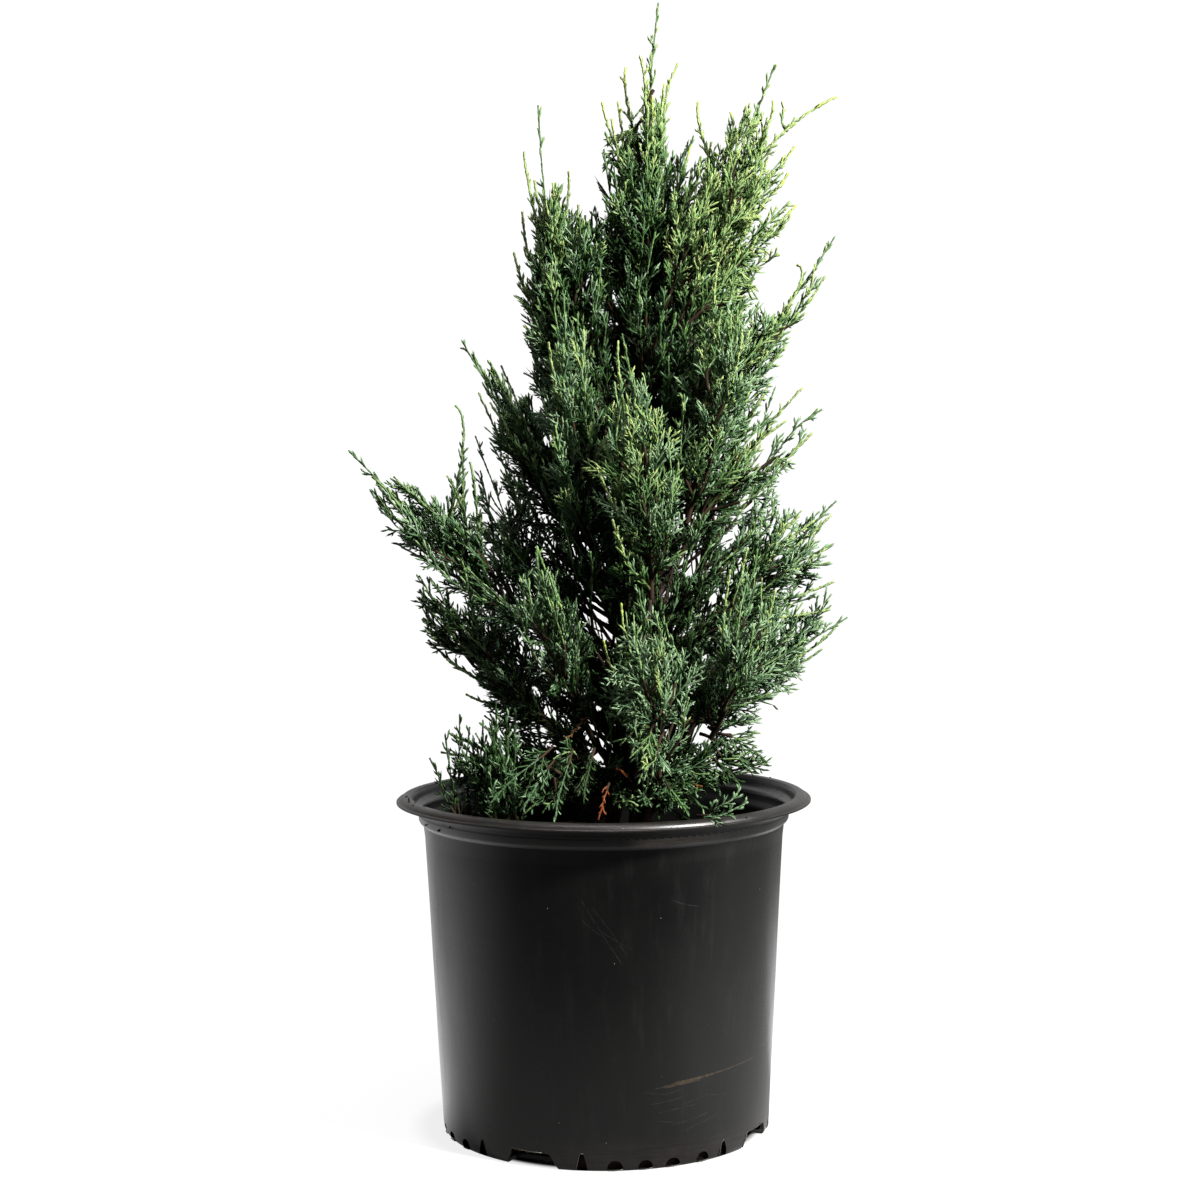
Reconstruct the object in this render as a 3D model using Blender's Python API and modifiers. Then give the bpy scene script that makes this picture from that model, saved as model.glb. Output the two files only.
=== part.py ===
"""Potted juniper: an upright scale-leaved juniper in a black nursery container.

One named solid for each sub-part: the container, its growing mix, the trunk and
second stem, the main boughs and the masses of foliage. Metres, +Z up, the photo's
viewer on the -Y side. The origin is the centre of the container's flat underside.
"""
import math

import bmesh
import bpy
from mathutils import Matrix, Vector

# ---------------------------------------------------------------- named sizes
GAP = 0.0005              # clearance between neighbouring solids
POT_HEIGHT = 0.254
POT_FOOT_R = 0.1195       # flat foot
POT_LOW_R = 0.1240        # outside of the wall just above the foot
POT_TOP_R = 0.1356        # outside of the wall under the shoulder
POT_SHOULDER_R = 0.1402   # widened band under the lip
POT_LIP_R = 0.1542        # rolled lip
POT_FLANGE_R = 0.1565     # thin flange at the foot of the roll
POT_WALL = 0.0021
POT_FLOOR = 0.0032
POT_STEPS = 32

# drainage openings round the foot, degrees from the front (-Y) towards +X
SLOT_CENTRES = (-26.0, 63.5, 154.0, 243.5)
SLOT_WIDTH = 0.0405
SLOT_HEIGHT = 0.0118
SLIT_OFFSETS = (-20.5, 17.8)      # narrow arches beside each wide opening
SLIT_WIDTH = 0.0078
SLIT_HEIGHT = 0.0130
MOON_OFFSETS = (28.8, 39.0, 48.6, 60.0)   # half-moons between them
MOON_WIDTH = 0.0118
MOON_HEIGHT = 0.0078
CUT_INNER_R = 0.1120

SOIL_TOP = 0.2080
SOIL_LUMP = 0.0030
SOIL_SHOULDER_Z = 0.0180          # the mix is held up off the drainage openings
SOIL_FOOT_R = 0.1020

STEM_SIDES_RES = 2                # trunk and stem in eight sides
BOUGH_SIDES_RES = 1               # boughs in six
SAG_STEPS = 5

# ------------------------------------------------------------------- helpers
for old in list(bpy.data.objects):
    bpy.data.objects.remove(old, do_unlink=True)

PLANT = bpy.data.collections.new("potted_juniper")
CUTTERS = bpy.data.collections.new("cutters")
bpy.context.scene.collection.children.link(PLANT)
bpy.context.scene.collection.children.link(CUTTERS)


def material(name, colour, roughness, metallic=0.0):
    mat = bpy.data.materials.new(name)
    mat.use_nodes = True
    shader = mat.node_tree.nodes["Principled BSDF"]
    shader.inputs["Base Color"].default_value = (*colour, 1.0)
    shader.inputs["Roughness"].default_value = roughness
    shader.inputs["Metallic"].default_value = metallic
    mat.diffuse_color = (*colour, 1.0)
    return mat


def mesh_from(bm, name):
    """A mesh of triangles, so that every later cut meets flat faces."""
    bmesh.ops.triangulate(bm, faces=bm.faces)
    mesh = bpy.data.meshes.new(name)
    bm.to_mesh(mesh)
    bm.free()
    return mesh


def place(name, mesh, mat, smooth=True):
    obj = bpy.data.objects.new(name, mesh)
    PLANT.objects.link(obj)
    mesh.materials.clear()
    mesh.materials.append(mat)
    if smooth:
        mesh.shade_smooth()
        mesh.set_sharp_from_angle(angle=math.radians(40))
    return obj


def cutter(name, mesh):
    obj = bpy.data.objects.new(name, mesh)
    CUTTERS.objects.link(obj)
    obj.hide_render = True
    obj.display_type = "WIRE"
    return obj


def baked(obj):
    """The object's mesh with its modifiers applied."""
    bpy.context.view_layer.update()
    graph = bpy.context.evaluated_depsgraph_get()
    mesh = bpy.data.meshes.new_from_object(obj.evaluated_get(graph))
    mesh.transform(obj.matrix_world)
    return mesh


def boolean(mesh, others, operation):
    """mesh combined in turn with each of the other meshes."""
    for other in others:
        a = bpy.data.objects.new("a", mesh)
        b = bpy.data.objects.new("b", other)
        CUTTERS.objects.link(a)
        CUTTERS.objects.link(b)
        mod = a.modifiers.new("cut", "BOOLEAN")
        mod.operation = operation
        mod.solver = "EXACT"
        mod.object = b
        mesh = baked(a)
        bpy.data.objects.remove(a, do_unlink=True)
        bpy.data.objects.remove(b, do_unlink=True)
    return mesh


def box_of(mesh):
    co = [v.co for v in mesh.vertices]
    return [(min(c[i] for c in co), max(c[i] for c in co)) for i in range(3)]


def boxes_meet(a, b):
    return all(a[i][0] < b[i][1] and b[i][0] < a[i][1] for i in range(3))


def largest_body(mesh, name):
    """Keeps the biggest closed piece where a cut left crumbs, and tidies slivers."""
    for tidy in (4e-5, 1.5e-5, 5e-6, 1e-6, 0.0):
        bm = bmesh.new()
        bm.from_mesh(mesh)
        if tidy:
            bmesh.ops.remove_doubles(bm, verts=bm.verts, dist=tidy)
            bmesh.ops.dissolve_degenerate(bm, dist=tidy, edges=bm.edges)
        bmesh.ops.triangulate(bm, faces=bm.faces)
        if all(e.is_manifold for e in bm.edges):
            break
        if tidy:
            bm.free()
    seen, groups = set(), []
    for face in bm.faces:
        if face in seen:
            continue
        stack, group = [face], []
        seen.add(face)
        while stack:
            f = stack.pop()
            group.append(f)
            for e in f.edges:
                for g in e.link_faces:
                    if g not in seen:
                        seen.add(g)
                        stack.append(g)
        volume = 0.0
        for f in group:
            a, b, c = (v.co for v in f.verts)
            volume += a.dot(b.cross(c)) / 6.0
        groups.append((volume, group))
    groups.sort(key=lambda item: -item[0])
    extra = [f for _, group in groups[1:] for f in group]
    if extra:
        bmesh.ops.delete(bm, geom=extra, context="FACES")
    loose = [v for v in bm.verts if not v.link_faces]
    if loose:
        bmesh.ops.delete(bm, geom=loose, context="VERTS")
    return mesh_from(bm, name)


def bezier(a, b, c, t):
    """Point and direction on the quadratic curve through a, towards b, to c."""
    p = a * (1 - t) ** 2 + b * 2 * t * (1 - t) + c * t * t
    d = (b - a) * 2 * (1 - t) + (c - b) * 2 * t
    return p, d.normalized()


# ------------------------------------------------------------------ container
def wall_radius(z):
    return POT_LOW_R + (POT_TOP_R - POT_LOW_R) * (z - 0.008) / (0.230 - 0.008)


def pot_profile():
    """Radius and height, up the inside from the centre of the floor, over the
    lip and down the outside to the centre of the underside."""
    inside = [
        (0.0, POT_FLOOR),
        (POT_FOOT_R - 0.0015, POT_FLOOR),
        (wall_radius(0.0066) - POT_WALL - 0.0006, 0.0066),
        (wall_radius(0.2305) - POT_WALL, 0.2305),
        (POT_TOP_R - 0.0014, 0.2332),
        (POT_SHOULDER_R - 0.0028, 0.2363),
        (POT_SHOULDER_R - 0.0021, 0.2414),
        (0.1425, 0.2450),
        (0.1440, 0.2510),
    ]
    lip = [
        (0.1456, 0.2535),
        (0.1478, POT_HEIGHT),
        (0.1512, 0.2533),
        (0.1535, 0.2512),
        (POT_LIP_R, 0.2491),
        (POT_FLANGE_R, 0.2487),
        (POT_FLANGE_R, 0.2474),
        (0.1463, 0.2463),
        (0.1452, 0.2441),
        (0.1412, 0.2424),
    ]
    outside = [
        (POT_SHOULDER_R, 0.2408),
        (POT_SHOULDER_R - 0.0005, 0.2352),
        (POT_TOP_R + 0.0008, 0.2322),
        (wall_radius(0.2298), 0.2298),
        (wall_radius(0.0080), 0.0080),
        (POT_LOW_R - 0.0008, 0.0030),
        (POT_FOOT_R + 0.0018, 0.0005),
        (POT_FOOT_R, 0.0),
        (0.0, 0.0),
    ]
    return inside + lip + outside


def turned(name, profile, steps):
    bm = bmesh.new()
    verts = [bm.verts.new((r, 0.0, z)) for r, z in profile]
    for a, b in zip(verts, verts[1:]):
        bm.edges.new((a, b))
    outline = bpy.data.meshes.new(name)
    bm.to_mesh(outline)
    bm.free()
    obj = bpy.data.objects.new(name, outline)
    CUTTERS.objects.link(obj)
    screw = obj.modifiers.new("turn", "SCREW")
    screw.axis = "Z"
    screw.angle = math.tau
    screw.steps = steps
    screw.render_steps = steps
    screw.use_merge_vertices = True
    screw.merge_threshold = 0.00001
    screw.use_smooth_shade = True
    mesh = baked(obj)
    bpy.data.objects.remove(obj, do_unlink=True)
    bm = bmesh.new()
    bm.from_mesh(mesh)
    bmesh.ops.remove_doubles(bm, verts=bm.verts, dist=1e-5)
    volume = bm.calc_volume(signed=True)
    if volume < 0:
        bmesh.ops.reverse_faces(bm, faces=bm.faces)
    return mesh_from(bm, name)


def foot_cut(bm, angle, width, height, kind):
    """One opening through the corner of wall and floor."""
    a = math.radians(angle - 90.0)
    depth = 0.034
    middle = CUT_INNER_R + depth / 2
    turn = Matrix.Rotation(a, 4, "Z") @ Matrix.Translation((middle, 0.0, 0.0))
    if kind == "slot":
        made = bmesh.ops.create_cube(bm, size=1.0)["verts"]
        for v in made:
            top = v.co.z > 0
            v.co.x *= depth
            v.co.y *= width * (0.84 if top else 1.02)
            v.co.z = height if top else -0.004
        bmesh.ops.transform(bm, matrix=turn, verts=made)
        return
    made = bmesh.ops.create_cone(
        bm, cap_ends=True, segments=6, radius1=0.5, radius2=0.5, depth=depth)["verts"]
    shape = Matrix.Diagonal((1.0, width, height * 2.0, 1.0)) @ Matrix.Rotation(math.pi / 2, 4, "Y")
    bmesh.ops.transform(bm, matrix=shape, verts=made)
    bmesh.ops.transform(bm, matrix=turn, verts=made)


pot_mesh = turned("container", pot_profile(), POT_STEPS)
notches = bmesh.new()
for centre in SLOT_CENTRES:
    foot_cut(notches, centre, SLOT_WIDTH, SLOT_HEIGHT, "slot")
    for off in SLIT_OFFSETS:
        foot_cut(notches, centre + off, SLIT_WIDTH, SLIT_HEIGHT, "arch")
    for off in MOON_OFFSETS:
        foot_cut(notches, centre + off, MOON_WIDTH, MOON_HEIGHT, "arch")
notch_mesh = mesh_from(notches, "foot_openings")
pot_mesh = largest_body(boolean(pot_mesh, [notch_mesh.copy()], "DIFFERENCE"), "container")
cutter("foot_openings", notch_mesh)
place("container", pot_mesh, material("black_plastic", (0.020, 0.020, 0.021), 0.42))

# ----------------------------------------------------------------- limb table
# name: points from the foot to the tip as (x, y, z, radius)
TRUNK = [
    (0.0270, 0.000, SOIL_TOP + 0.0004, 0.0150),
    (0.0270, 0.000, SOIL_TOP + 0.0050, 0.0122),
    (0.0272, 0.000, SOIL_TOP + 0.0130, 0.0100),
    (0.0278, -0.001, 0.2500, 0.0086),
    (0.0275, -0.002, 0.3200, 0.0072),
    (0.0262, -0.001, 0.3900, 0.0062),
    (0.0285, 0.001, 0.4700, 0.0054),
    (0.0325, 0.002, 0.5600, 0.0045),
    (0.0350, 0.001, 0.6500, 0.0034),
    (0.0370, 0.000, 0.7300, 0.0023),
    (0.0395, 0.000, 0.7900, 0.0013),
]
SECOND_STEM = [
    (0.0020, 0.010, SOIL_TOP + 0.0004, 0.0102),
    (0.0020, 0.010, SOIL_TOP + 0.0050, 0.0086),
    (0.0035, 0.010, SOIL_TOP + 0.0150, 0.0070),
    (0.0090, 0.009, 0.2700, 0.0060),
    (0.0070, 0.009, 0.3400, 0.0053),
    (0.0000, 0.008, 0.4200, 0.0047),
    (-0.0130, 0.005, 0.5100, 0.0039),
    (-0.0260, 0.002, 0.5950, 0.0029),
    (-0.0345, 0.000, 0.6700, 0.0017),
]
# bough: the limb it leaves, the height it leaves at, how far it swings before it
# enters its mass, and its radius where it leaves
BOUGHS = {
    "bough_right_foot": ("trunk", 0.232, "foliage_right_foot", 0.0052),
    "bough_right_low": ("trunk", 0.300, "foliage_right_low", 0.0042),
    "bough_right_high": ("trunk", 0.385, "foliage_right_high", 0.0036),
    "bough_right_mid": ("trunk", 0.440, "foliage_right_mid", 0.0036),
    "bough_upper_right": ("trunk", 0.505, "foliage_upper_right", 0.0032),
    "bough_far_left": ("second_stem", 0.290, "foliage_far_left", 0.0042),
    "bough_left_low": ("second_stem", 0.246, "foliage_left_low", 0.0040),
    "bough_left_mid": ("second_stem", 0.385, "foliage_left_mid", 0.0034),
    "bough_front_high": ("trunk", 0.335, "foliage_front_high", 0.0036),
    "bough_front_low": ("trunk", 0.226, "foliage_front_low", 0.0036),
    "bough_front_left": ("second_stem", 0.268, "foliage_front_left", 0.0034),
    "bough_back_centre": ("trunk", 0.262, "foliage_back_centre", 0.0040),
    "bough_back_left": ("second_stem", 0.325, "foliage_back_left", 0.0036),
    "bough_back_right": ("trunk", 0.350, "foliage_back_right", 0.0036),
    "bough_back_low_left": ("second_stem", 0.236, "foliage_back_low_left", 0.0036),
    "bough_back_low_right": ("trunk", 0.244, "foliage_back_low_right", 0.0036),
}

# --------------------------------------------------------------- foliage table
# mass: foot of its axis, the point it bends towards, its furthest tip, half width
# across the view, half depth, where along its length it is fullest, and side
# shoots (foot, tip, foot radius) that stand out of it
MASSES = {
    "foliage_leader": (
        (0.036, 0.000, 0.560), (0.032, 0.000, 0.690), (0.0455, 0.000, 0.8440), 0.036, 0.038, 0.33,
        [((0.031, -0.004, 0.700), (0.033, -0.005, 0.805), 0.010),
         ((0.019, 0.004, 0.690), (0.003, 0.006, 0.772), 0.010),
         ((0.050, 0.004, 0.710), (0.060, 0.004, 0.799), 0.010)]),
    "foliage_upper_right": (
        (0.060, -0.010, 0.565), (0.098, -0.020, 0.655), (0.130, -0.012, 0.792), 0.027, 0.032, 0.42,
        [((0.112, -0.018, 0.690), (0.177, -0.020, 0.768), 0.009),
         ((0.120, -0.018, 0.665), (0.147, -0.018, 0.735), 0.010),
         ((0.090, -0.015, 0.680), (0.098, -0.015, 0.760), 0.010)]),
    "foliage_upper_left": (
        (-0.014, 0.000, 0.515), (-0.038, 0.000, 0.610), (-0.043, 0.000, 0.769), 0.030, 0.034, 0.36,
        [((-0.030, 0.000, 0.630), (-0.022, 0.000, 0.721), 0.011),
         ((-0.045, 0.002, 0.600), (-0.060, 0.003, 0.690), 0.010)]),
    "foliage_right_mid": (
        (0.062, -0.018, 0.508), (0.106, -0.028, 0.560), (0.177, -0.020, 0.673), 0.028, 0.036, 0.40,
        [((0.122, -0.025, 0.570), (0.143, -0.025, 0.644), 0.012)]),
    "foliage_right_high": (
        (0.060, -0.015, 0.448), (0.103, -0.020, 0.475), (0.165, -0.015, 0.540), 0.025, 0.035, 0.45,
        [((0.122, -0.020, 0.500), (0.150, -0.020, 0.557), 0.009)]),
    "foliage_right_low": (
        (0.055, -0.020, 0.362), (0.110, -0.030, 0.398), (0.175, -0.020, 0.473), 0.031, 0.040, 0.46,
        [((0.125, -0.025, 0.420), (0.176, -0.022, 0.415), 0.014)]),
    "foliage_right_foot": (
        (0.058, -0.022, 0.300), (0.106, -0.030, 0.322), (0.183, -0.020, 0.386), 0.026, 0.036, 0.45, []),
    "foliage_left_mid": (
        (-0.015, 0.002, 0.440), (-0.053, -0.008, 0.498), (-0.104, 0.000, 0.596), 0.029, 0.037, 0.40, []),
    "foliage_far_left": (
        (-0.036, -0.010, 0.372), (-0.098, -0.020, 0.406), (-0.188, -0.020, 0.514), 0.032, 0.038, 0.42,
        [((-0.109, -0.020, 0.450), (-0.109, -0.020, 0.546), 0.011),
         ((-0.088, -0.012, 0.430), (-0.091, -0.010, 0.528), 0.011)]),
    "foliage_left_low": (
        (-0.034, -0.002, 0.300), (-0.085, -0.010, 0.333), (-0.133, -0.010, 0.409), 0.029, 0.038, 0.46, []),
    "foliage_front_high": (
        (0.036, -0.050, 0.400), (0.036, -0.080, 0.485), (0.016, -0.070, 0.595), 0.034, 0.033, 0.42,
        [((0.018, -0.064, 0.500), (-0.004, -0.060, 0.589), 0.010)]),
    "foliage_front_low": (
        (0.040, -0.056, 0.258), (0.048, -0.092, 0.320), (0.027, -0.078, 0.412), 0.036, 0.036, 0.45, []),
    "foliage_front_left": (
        (-0.014, -0.042, 0.318), (-0.046, -0.076, 0.370), (-0.047, -0.070, 0.443), 0.033, 0.033, 0.46, []),
    "foliage_front_upper_right": (
        (0.062, -0.036, 0.455), (0.080, -0.064, 0.535), (0.086, -0.056, 0.650), 0.030, 0.031, 0.42, []),
    "foliage_front_upper_left": (
        (-0.006, -0.032, 0.435), (-0.024, -0.058, 0.510), (-0.026, -0.050, 0.625), 0.030, 0.030, 0.42, []),
    "foliage_front_right_low": (
        (0.078, -0.050, 0.298), (0.100, -0.082, 0.350), (0.112, -0.078, 0.440), 0.030, 0.032, 0.45, []),
    "foliage_left_skirt": (
        (-0.045, -0.028, 0.258), (-0.084, -0.042, 0.258), (-0.114, -0.040, 0.305), 0.021, 0.028, 0.50, []),
    "foliage_front_skirt": (
        (-0.004, -0.052, 0.292), (-0.032, -0.084, 0.283), (-0.060, -0.098, 0.254), 0.020, 0.024, 0.55, []),
    "foliage_right_skirt": (
        (0.046, -0.022, 0.268), (0.083, -0.034, 0.284), (0.121, -0.034, 0.279), 0.016, 0.028, 0.50,
        [((0.070, -0.050, 0.272), (0.094, -0.128, 0.262), 0.012)]),
    "foliage_back_leader": (
        (0.018, 0.040, 0.500), (0.020, 0.062, 0.610), (0.024, 0.045, 0.745), 0.035, 0.033, 0.40, []),
    "foliage_back_right_high": (
        (0.060, 0.034, 0.500), (0.092, 0.058, 0.590), (0.100, 0.050, 0.715), 0.033, 0.034, 0.40, []),
    "foliage_back_left_high": (
        (-0.018, 0.042, 0.450), (-0.040, 0.062, 0.530), (-0.048, 0.056, 0.650), 0.033, 0.034, 0.42, []),
    "foliage_back_left": (
        (-0.030, 0.044, 0.372), (-0.070, 0.072, 0.425), (-0.098, 0.072, 0.525), 0.036, 0.040, 0.44, []),
    "foliage_back_right": (
        (0.062, 0.040, 0.400), (0.104, 0.066, 0.450), (0.136, 0.068, 0.560), 0.036, 0.040, 0.44, []),
    "foliage_back_centre": (
        (0.020, 0.052, 0.320), (0.018, 0.108, 0.385), (0.012, 0.118, 0.505), 0.038, 0.037, 0.44, []),
    "foliage_back_high": (
        (0.026, 0.050, 0.430), (0.034, 0.092, 0.490), (0.034, 0.094, 0.615), 0.034, 0.032, 0.42, []),
    "foliage_back_low_left": (
        (-0.026, 0.044, 0.285), (-0.074, 0.080, 0.320), (-0.112, 0.092, 0.420), 0.036, 0.040, 0.44, []),
    "foliage_back_low_right": (
        (0.056, 0.046, 0.290), (0.098, 0.084, 0.330), (0.138, 0.092, 0.430), 0.036, 0.040, 0.44, []),
    "foliage_back_skirt": (
        (0.020, 0.048, 0.262), (0.028, 0.085, 0.284), (0.036, 0.122, 0.276), 0.044, 0.018, 0.50, []),
}
MASS_SIDES = 8
MASS_RINGS = 8
LUMP = 0.17
MASS_GAP = 0.0010         # clearance between masses


def vectors(row):
    return [Vector(p) for p in row[:3]]


def mass_radius(t, fullest):
    """Share of the full width at t along the axis: round foot, fine tip."""
    bend = math.log(0.5) / math.log(fullest)
    s = math.sin(math.pi * min(max(t, 0.0), 1.0) ** bend)
    return max(s, 0.0) ** (0.85 if t < fullest else 1.15)


def flame(row, seed, grow=0.0):
    """Uneven flame-shaped solid round a bent axis; grow moves its skin outwards."""
    foot, mid, tip, wide, deep, fullest, _ = row
    foot, mid, tip = Vector(foot), Vector(mid), Vector(tip)
    bm = bmesh.new()
    bmesh.ops.create_uvsphere(bm, u_segments=MASS_SIDES, v_segments=MASS_RINGS, radius=1.0)
    length = (mid - foot).length + (tip - mid).length
    for v in bm.verts:
        polar = math.acos(max(-1.0, min(1.0, -v.co.z)))
        t = polar / math.pi
        angle = math.atan2(v.co.y, v.co.x)
        p, along = bezier(foot, mid, tip, t)
        depth = Vector((0.0, 1.0, 0.0))
        side = along.cross(depth)
        side = side.normalized() if side.length > 0.2 else Vector((1.0, 0.0, 0.0))
        depth = side.cross(along).normalized()
        lump = 1.0 + LUMP * (
            0.62 * math.sin(3.0 * angle + 6.1 * t + 1.7 * seed)
            + 0.55 * math.sin(2.0 * angle - 11.0 * t + 2.9 * seed)
            + 0.30 * math.sin(4.0 * angle + 17.0 * t + 0.7 * seed))
        share = mass_radius(t, fullest) * lump
        if 1e-6 < t < 1 - 1e-6:
            v.co = (p + side * math.cos(angle) * (wide * share + grow)
                    + depth * math.sin(angle) * (deep * share + grow))
        else:
            v.co = p + along * (grow * (3.0 if t > 0.5 else -2.0))
    assert length > 0.02
    if bm.calc_volume(signed=True) < 0:
        bmesh.ops.reverse_faces(bm, faces=bm.faces)
    return mesh_from(bm, "flame")


def shoot(foot, tip, radius, grow=0.0):
    """Slender pointed side shoot."""
    foot, tip = Vector(foot), Vector(tip)
    bm = bmesh.new()
    axis = tip - foot
    made = bmesh.ops.create_cone(
        bm, cap_ends=True, segments=5, radius1=radius + grow, radius2=0.0009 + grow,
        depth=axis.length + 2.0 * grow)["verts"]
    turn = axis.to_track_quat("Z", "Y").to_matrix().to_4x4()
    bmesh.ops.transform(bm, matrix=Matrix.Translation((foot + tip) / 2) @ turn, verts=made)
    if bm.calc_volume(signed=True) < 0:
        bmesh.ops.reverse_faces(bm, faces=bm.faces)
    return mesh_from(bm, "shoot")


def mass_pieces(name, grow=0.0):
    row = MASSES[name]
    seed = sum(ord(ch) for ch in name) % 37
    return [flame(row, seed, grow)] + [shoot(f, t, r, grow) for f, t, r in row[6]]


def mass_shape(name):
    pieces = mass_pieces(name)
    return boolean(pieces[0], pieces[1:], "UNION")


# ------------------------------------------------------------------ limb build
def limb_mesh(points, grow=0.0, name="limb", sides=BOUGH_SIDES_RES):
    """Round tapering limb with flat ends, from a bevelled curve."""
    data = bpy.data.curves.new(name, "CURVE")
    data.dimensions = "3D"
    data.bevel_depth = 1.0
    data.bevel_resolution = sides
    data.use_fill_caps = True
    spline = data.splines.new("POLY")
    spline.points.add(len(points) - 1)
    for q, (x, y, z, r) in zip(spline.points, points):
        q.co = (x, y, z, 1.0)
        q.radius = r + grow
    obj = bpy.data.objects.new(name, data)
    CUTTERS.objects.link(obj)
    mesh = baked(obj)
    bpy.data.objects.remove(obj, do_unlink=True)
    bm = bmesh.new()
    bm.from_mesh(mesh)
    bmesh.ops.remove_doubles(bm, verts=bm.verts, dist=1e-5)
    if bm.calc_volume(signed=True) < 0:
        bmesh.ops.reverse_faces(bm, faces=bm.faces)
    return mesh_from(bm, name)


def longer(points, by):
    """The same limb run on at both ends, for cutting clean through a neighbour."""
    a, b = Vector(points[0][:3]), Vector(points[1][:3])
    c, d = Vector(points[-2][:3]), Vector(points[-1][:3])
    first = a + (a - b).normalized() * by
    last = d + (d - c).normalized() * by
    return [(*first, points[0][3])] + list(points[1:-1]) + [(*last, points[-1][3])]


def at_height(points, z):
    for p, q in zip(points, points[1:]):
        if p[2] <= z <= q[2]:
            s = (z - p[2]) / (q[2] - p[2])
            return Vector([p[i] + (q[i] - p[i]) * s for i in range(3)]), p[3] + (q[3] - p[3]) * s
    raise ValueError(z)


def bough_points(limb, height, mass, radius):
    """From inside the limb it leaves, out and up, and a little way into its mass."""
    start, _ = at_height(limb, height)
    foot, mid, _ = vectors(MASSES[mass])
    end, into = bezier(*vectors(MASSES[mass]), 0.10)
    bend = Vector((start.x + (end.x - start.x) * 0.62,
                   start.y + (end.y - start.y) * 0.62,
                   start.z + (end.z - start.z) * 0.34))
    rows = []
    for i in range(SAG_STEPS):
        t = i / (SAG_STEPS - 1)
        p, _ = bezier(start, bend, end, t)
        rows.append((p.x, p.y, p.z, radius * (1.0 - 0.52 * t)))
    return rows


LIMBS = {"trunk": TRUNK, "second_stem": SECOND_STEM}
bark = {
    "trunk": material("bark_trunk", (0.115, 0.060, 0.040), 0.85),
    "second_stem": material("bark_stem", (0.095, 0.052, 0.036), 0.85),
}
solids = {}      # name: (mesh, box)
limb_cutters = {}

for name, points in LIMBS.items():
    solids[name] = limb_mesh(points, 0.0, name, STEM_SIDES_RES)
    limb_cutters[name] = limb_mesh(longer(points, 0.001), GAP, name + "_cut", STEM_SIDES_RES)

for name, (limb, height, mass, radius) in BOUGHS.items():
    points = bough_points(LIMBS[limb], height, mass, radius)
    raw = limb_mesh(points, 0.0, name)
    tools = [limb_cutters[k] for k in limb_cutters
             if boxes_meet(box_of(raw), box_of(limb_cutters[k]))]
    cut = boolean(raw, [m.copy() for m in tools], "DIFFERENCE")
    solids[name] = largest_body(cut, name)
    limb_cutters[name] = limb_mesh(longer(points, 0.0006), GAP, name + "_cut")

for name in solids:
    place(name, solids[name], bark.get(name) or material("bark_" + name, (0.085, 0.050, 0.034), 0.85))

# ------------------------------------------------------------------- the mix
def soil_mesh():
    """Growing mix: clears the wall, is held off the foot openings, lumpy on top."""
    clear = GAP + 0.0004
    r_top = (wall_radius(SOIL_TOP) - POT_WALL - clear)
    r_low = (wall_radius(SOIL_SHOULDER_Z) - POT_WALL - clear)
    profile = [
        (0.0, SOIL_TOP),
        (0.048, SOIL_TOP),
        (0.090, SOIL_TOP),
        (r_top, SOIL_TOP),
        (r_low, SOIL_SHOULDER_Z),
        (SOIL_FOOT_R, POT_FLOOR + 0.0006),
        (0.0, POT_FLOOR + 0.0006),
    ]
    mesh = turned("growing_mix", profile, POT_STEPS // 2)
    for v in mesh.vertices:
        r = math.hypot(v.co.x, v.co.y)
        if v.co.z > SOIL_TOP - 1e-4 and r > 0.05:
            a = math.atan2(v.co.y, v.co.x)
            wave = math.sin(3 * a + 1.0) + 0.7 * math.sin(7 * a + 40 * r) + 0.5 * math.sin(11 * a - 90 * r)
            v.co.z += SOIL_LUMP * 0.45 * wave - (0.0010 if r < 0.12 else 0.0)
    return mesh


place("growing_mix", soil_mesh(), material("growing_mix", (0.030, 0.020, 0.014), 0.95))

# -------------------------------------------------------------------- foliage
GREENS = [(0.055, 0.110, 0.065), (0.048, 0.098, 0.062), (0.062, 0.120, 0.066), (0.042, 0.090, 0.058)]
mass_cutters = {}
for number, name in enumerate(MASSES):
    shape = mass_shape(name)
    own = box_of(shape)
    tools = []
    for k, m in limb_cutters.items():
        if boxes_meet(own, box_of(m)):
            tools.append(m.copy())
    for pieces in mass_cutters.values():
        for m in pieces:
            if boxes_meet(own, box_of(m)):
                tools.append(m.copy())
    shape = boolean(shape, tools, "DIFFERENCE")
    shape = largest_body(shape, name)
    mass_cutters[name] = mass_pieces(name, MASS_GAP)
    place(name, shape, material(name, GREENS[number % len(GREENS)], 0.8), smooth=False)
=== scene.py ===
"""Finish, foliage and light for the potted juniper.

Every piece is built in code in the same frame as the solids: metres, +Z up, the
viewer on the -Y side. The crown grows by a seeded branching rule from the trunk
and second stem: boughs, shoots, sprays, branchlets and scale-leaf tips.
"""
import math

import bmesh
import bpy
import numpy as np
from mathutils import Matrix, Vector, noise


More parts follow.
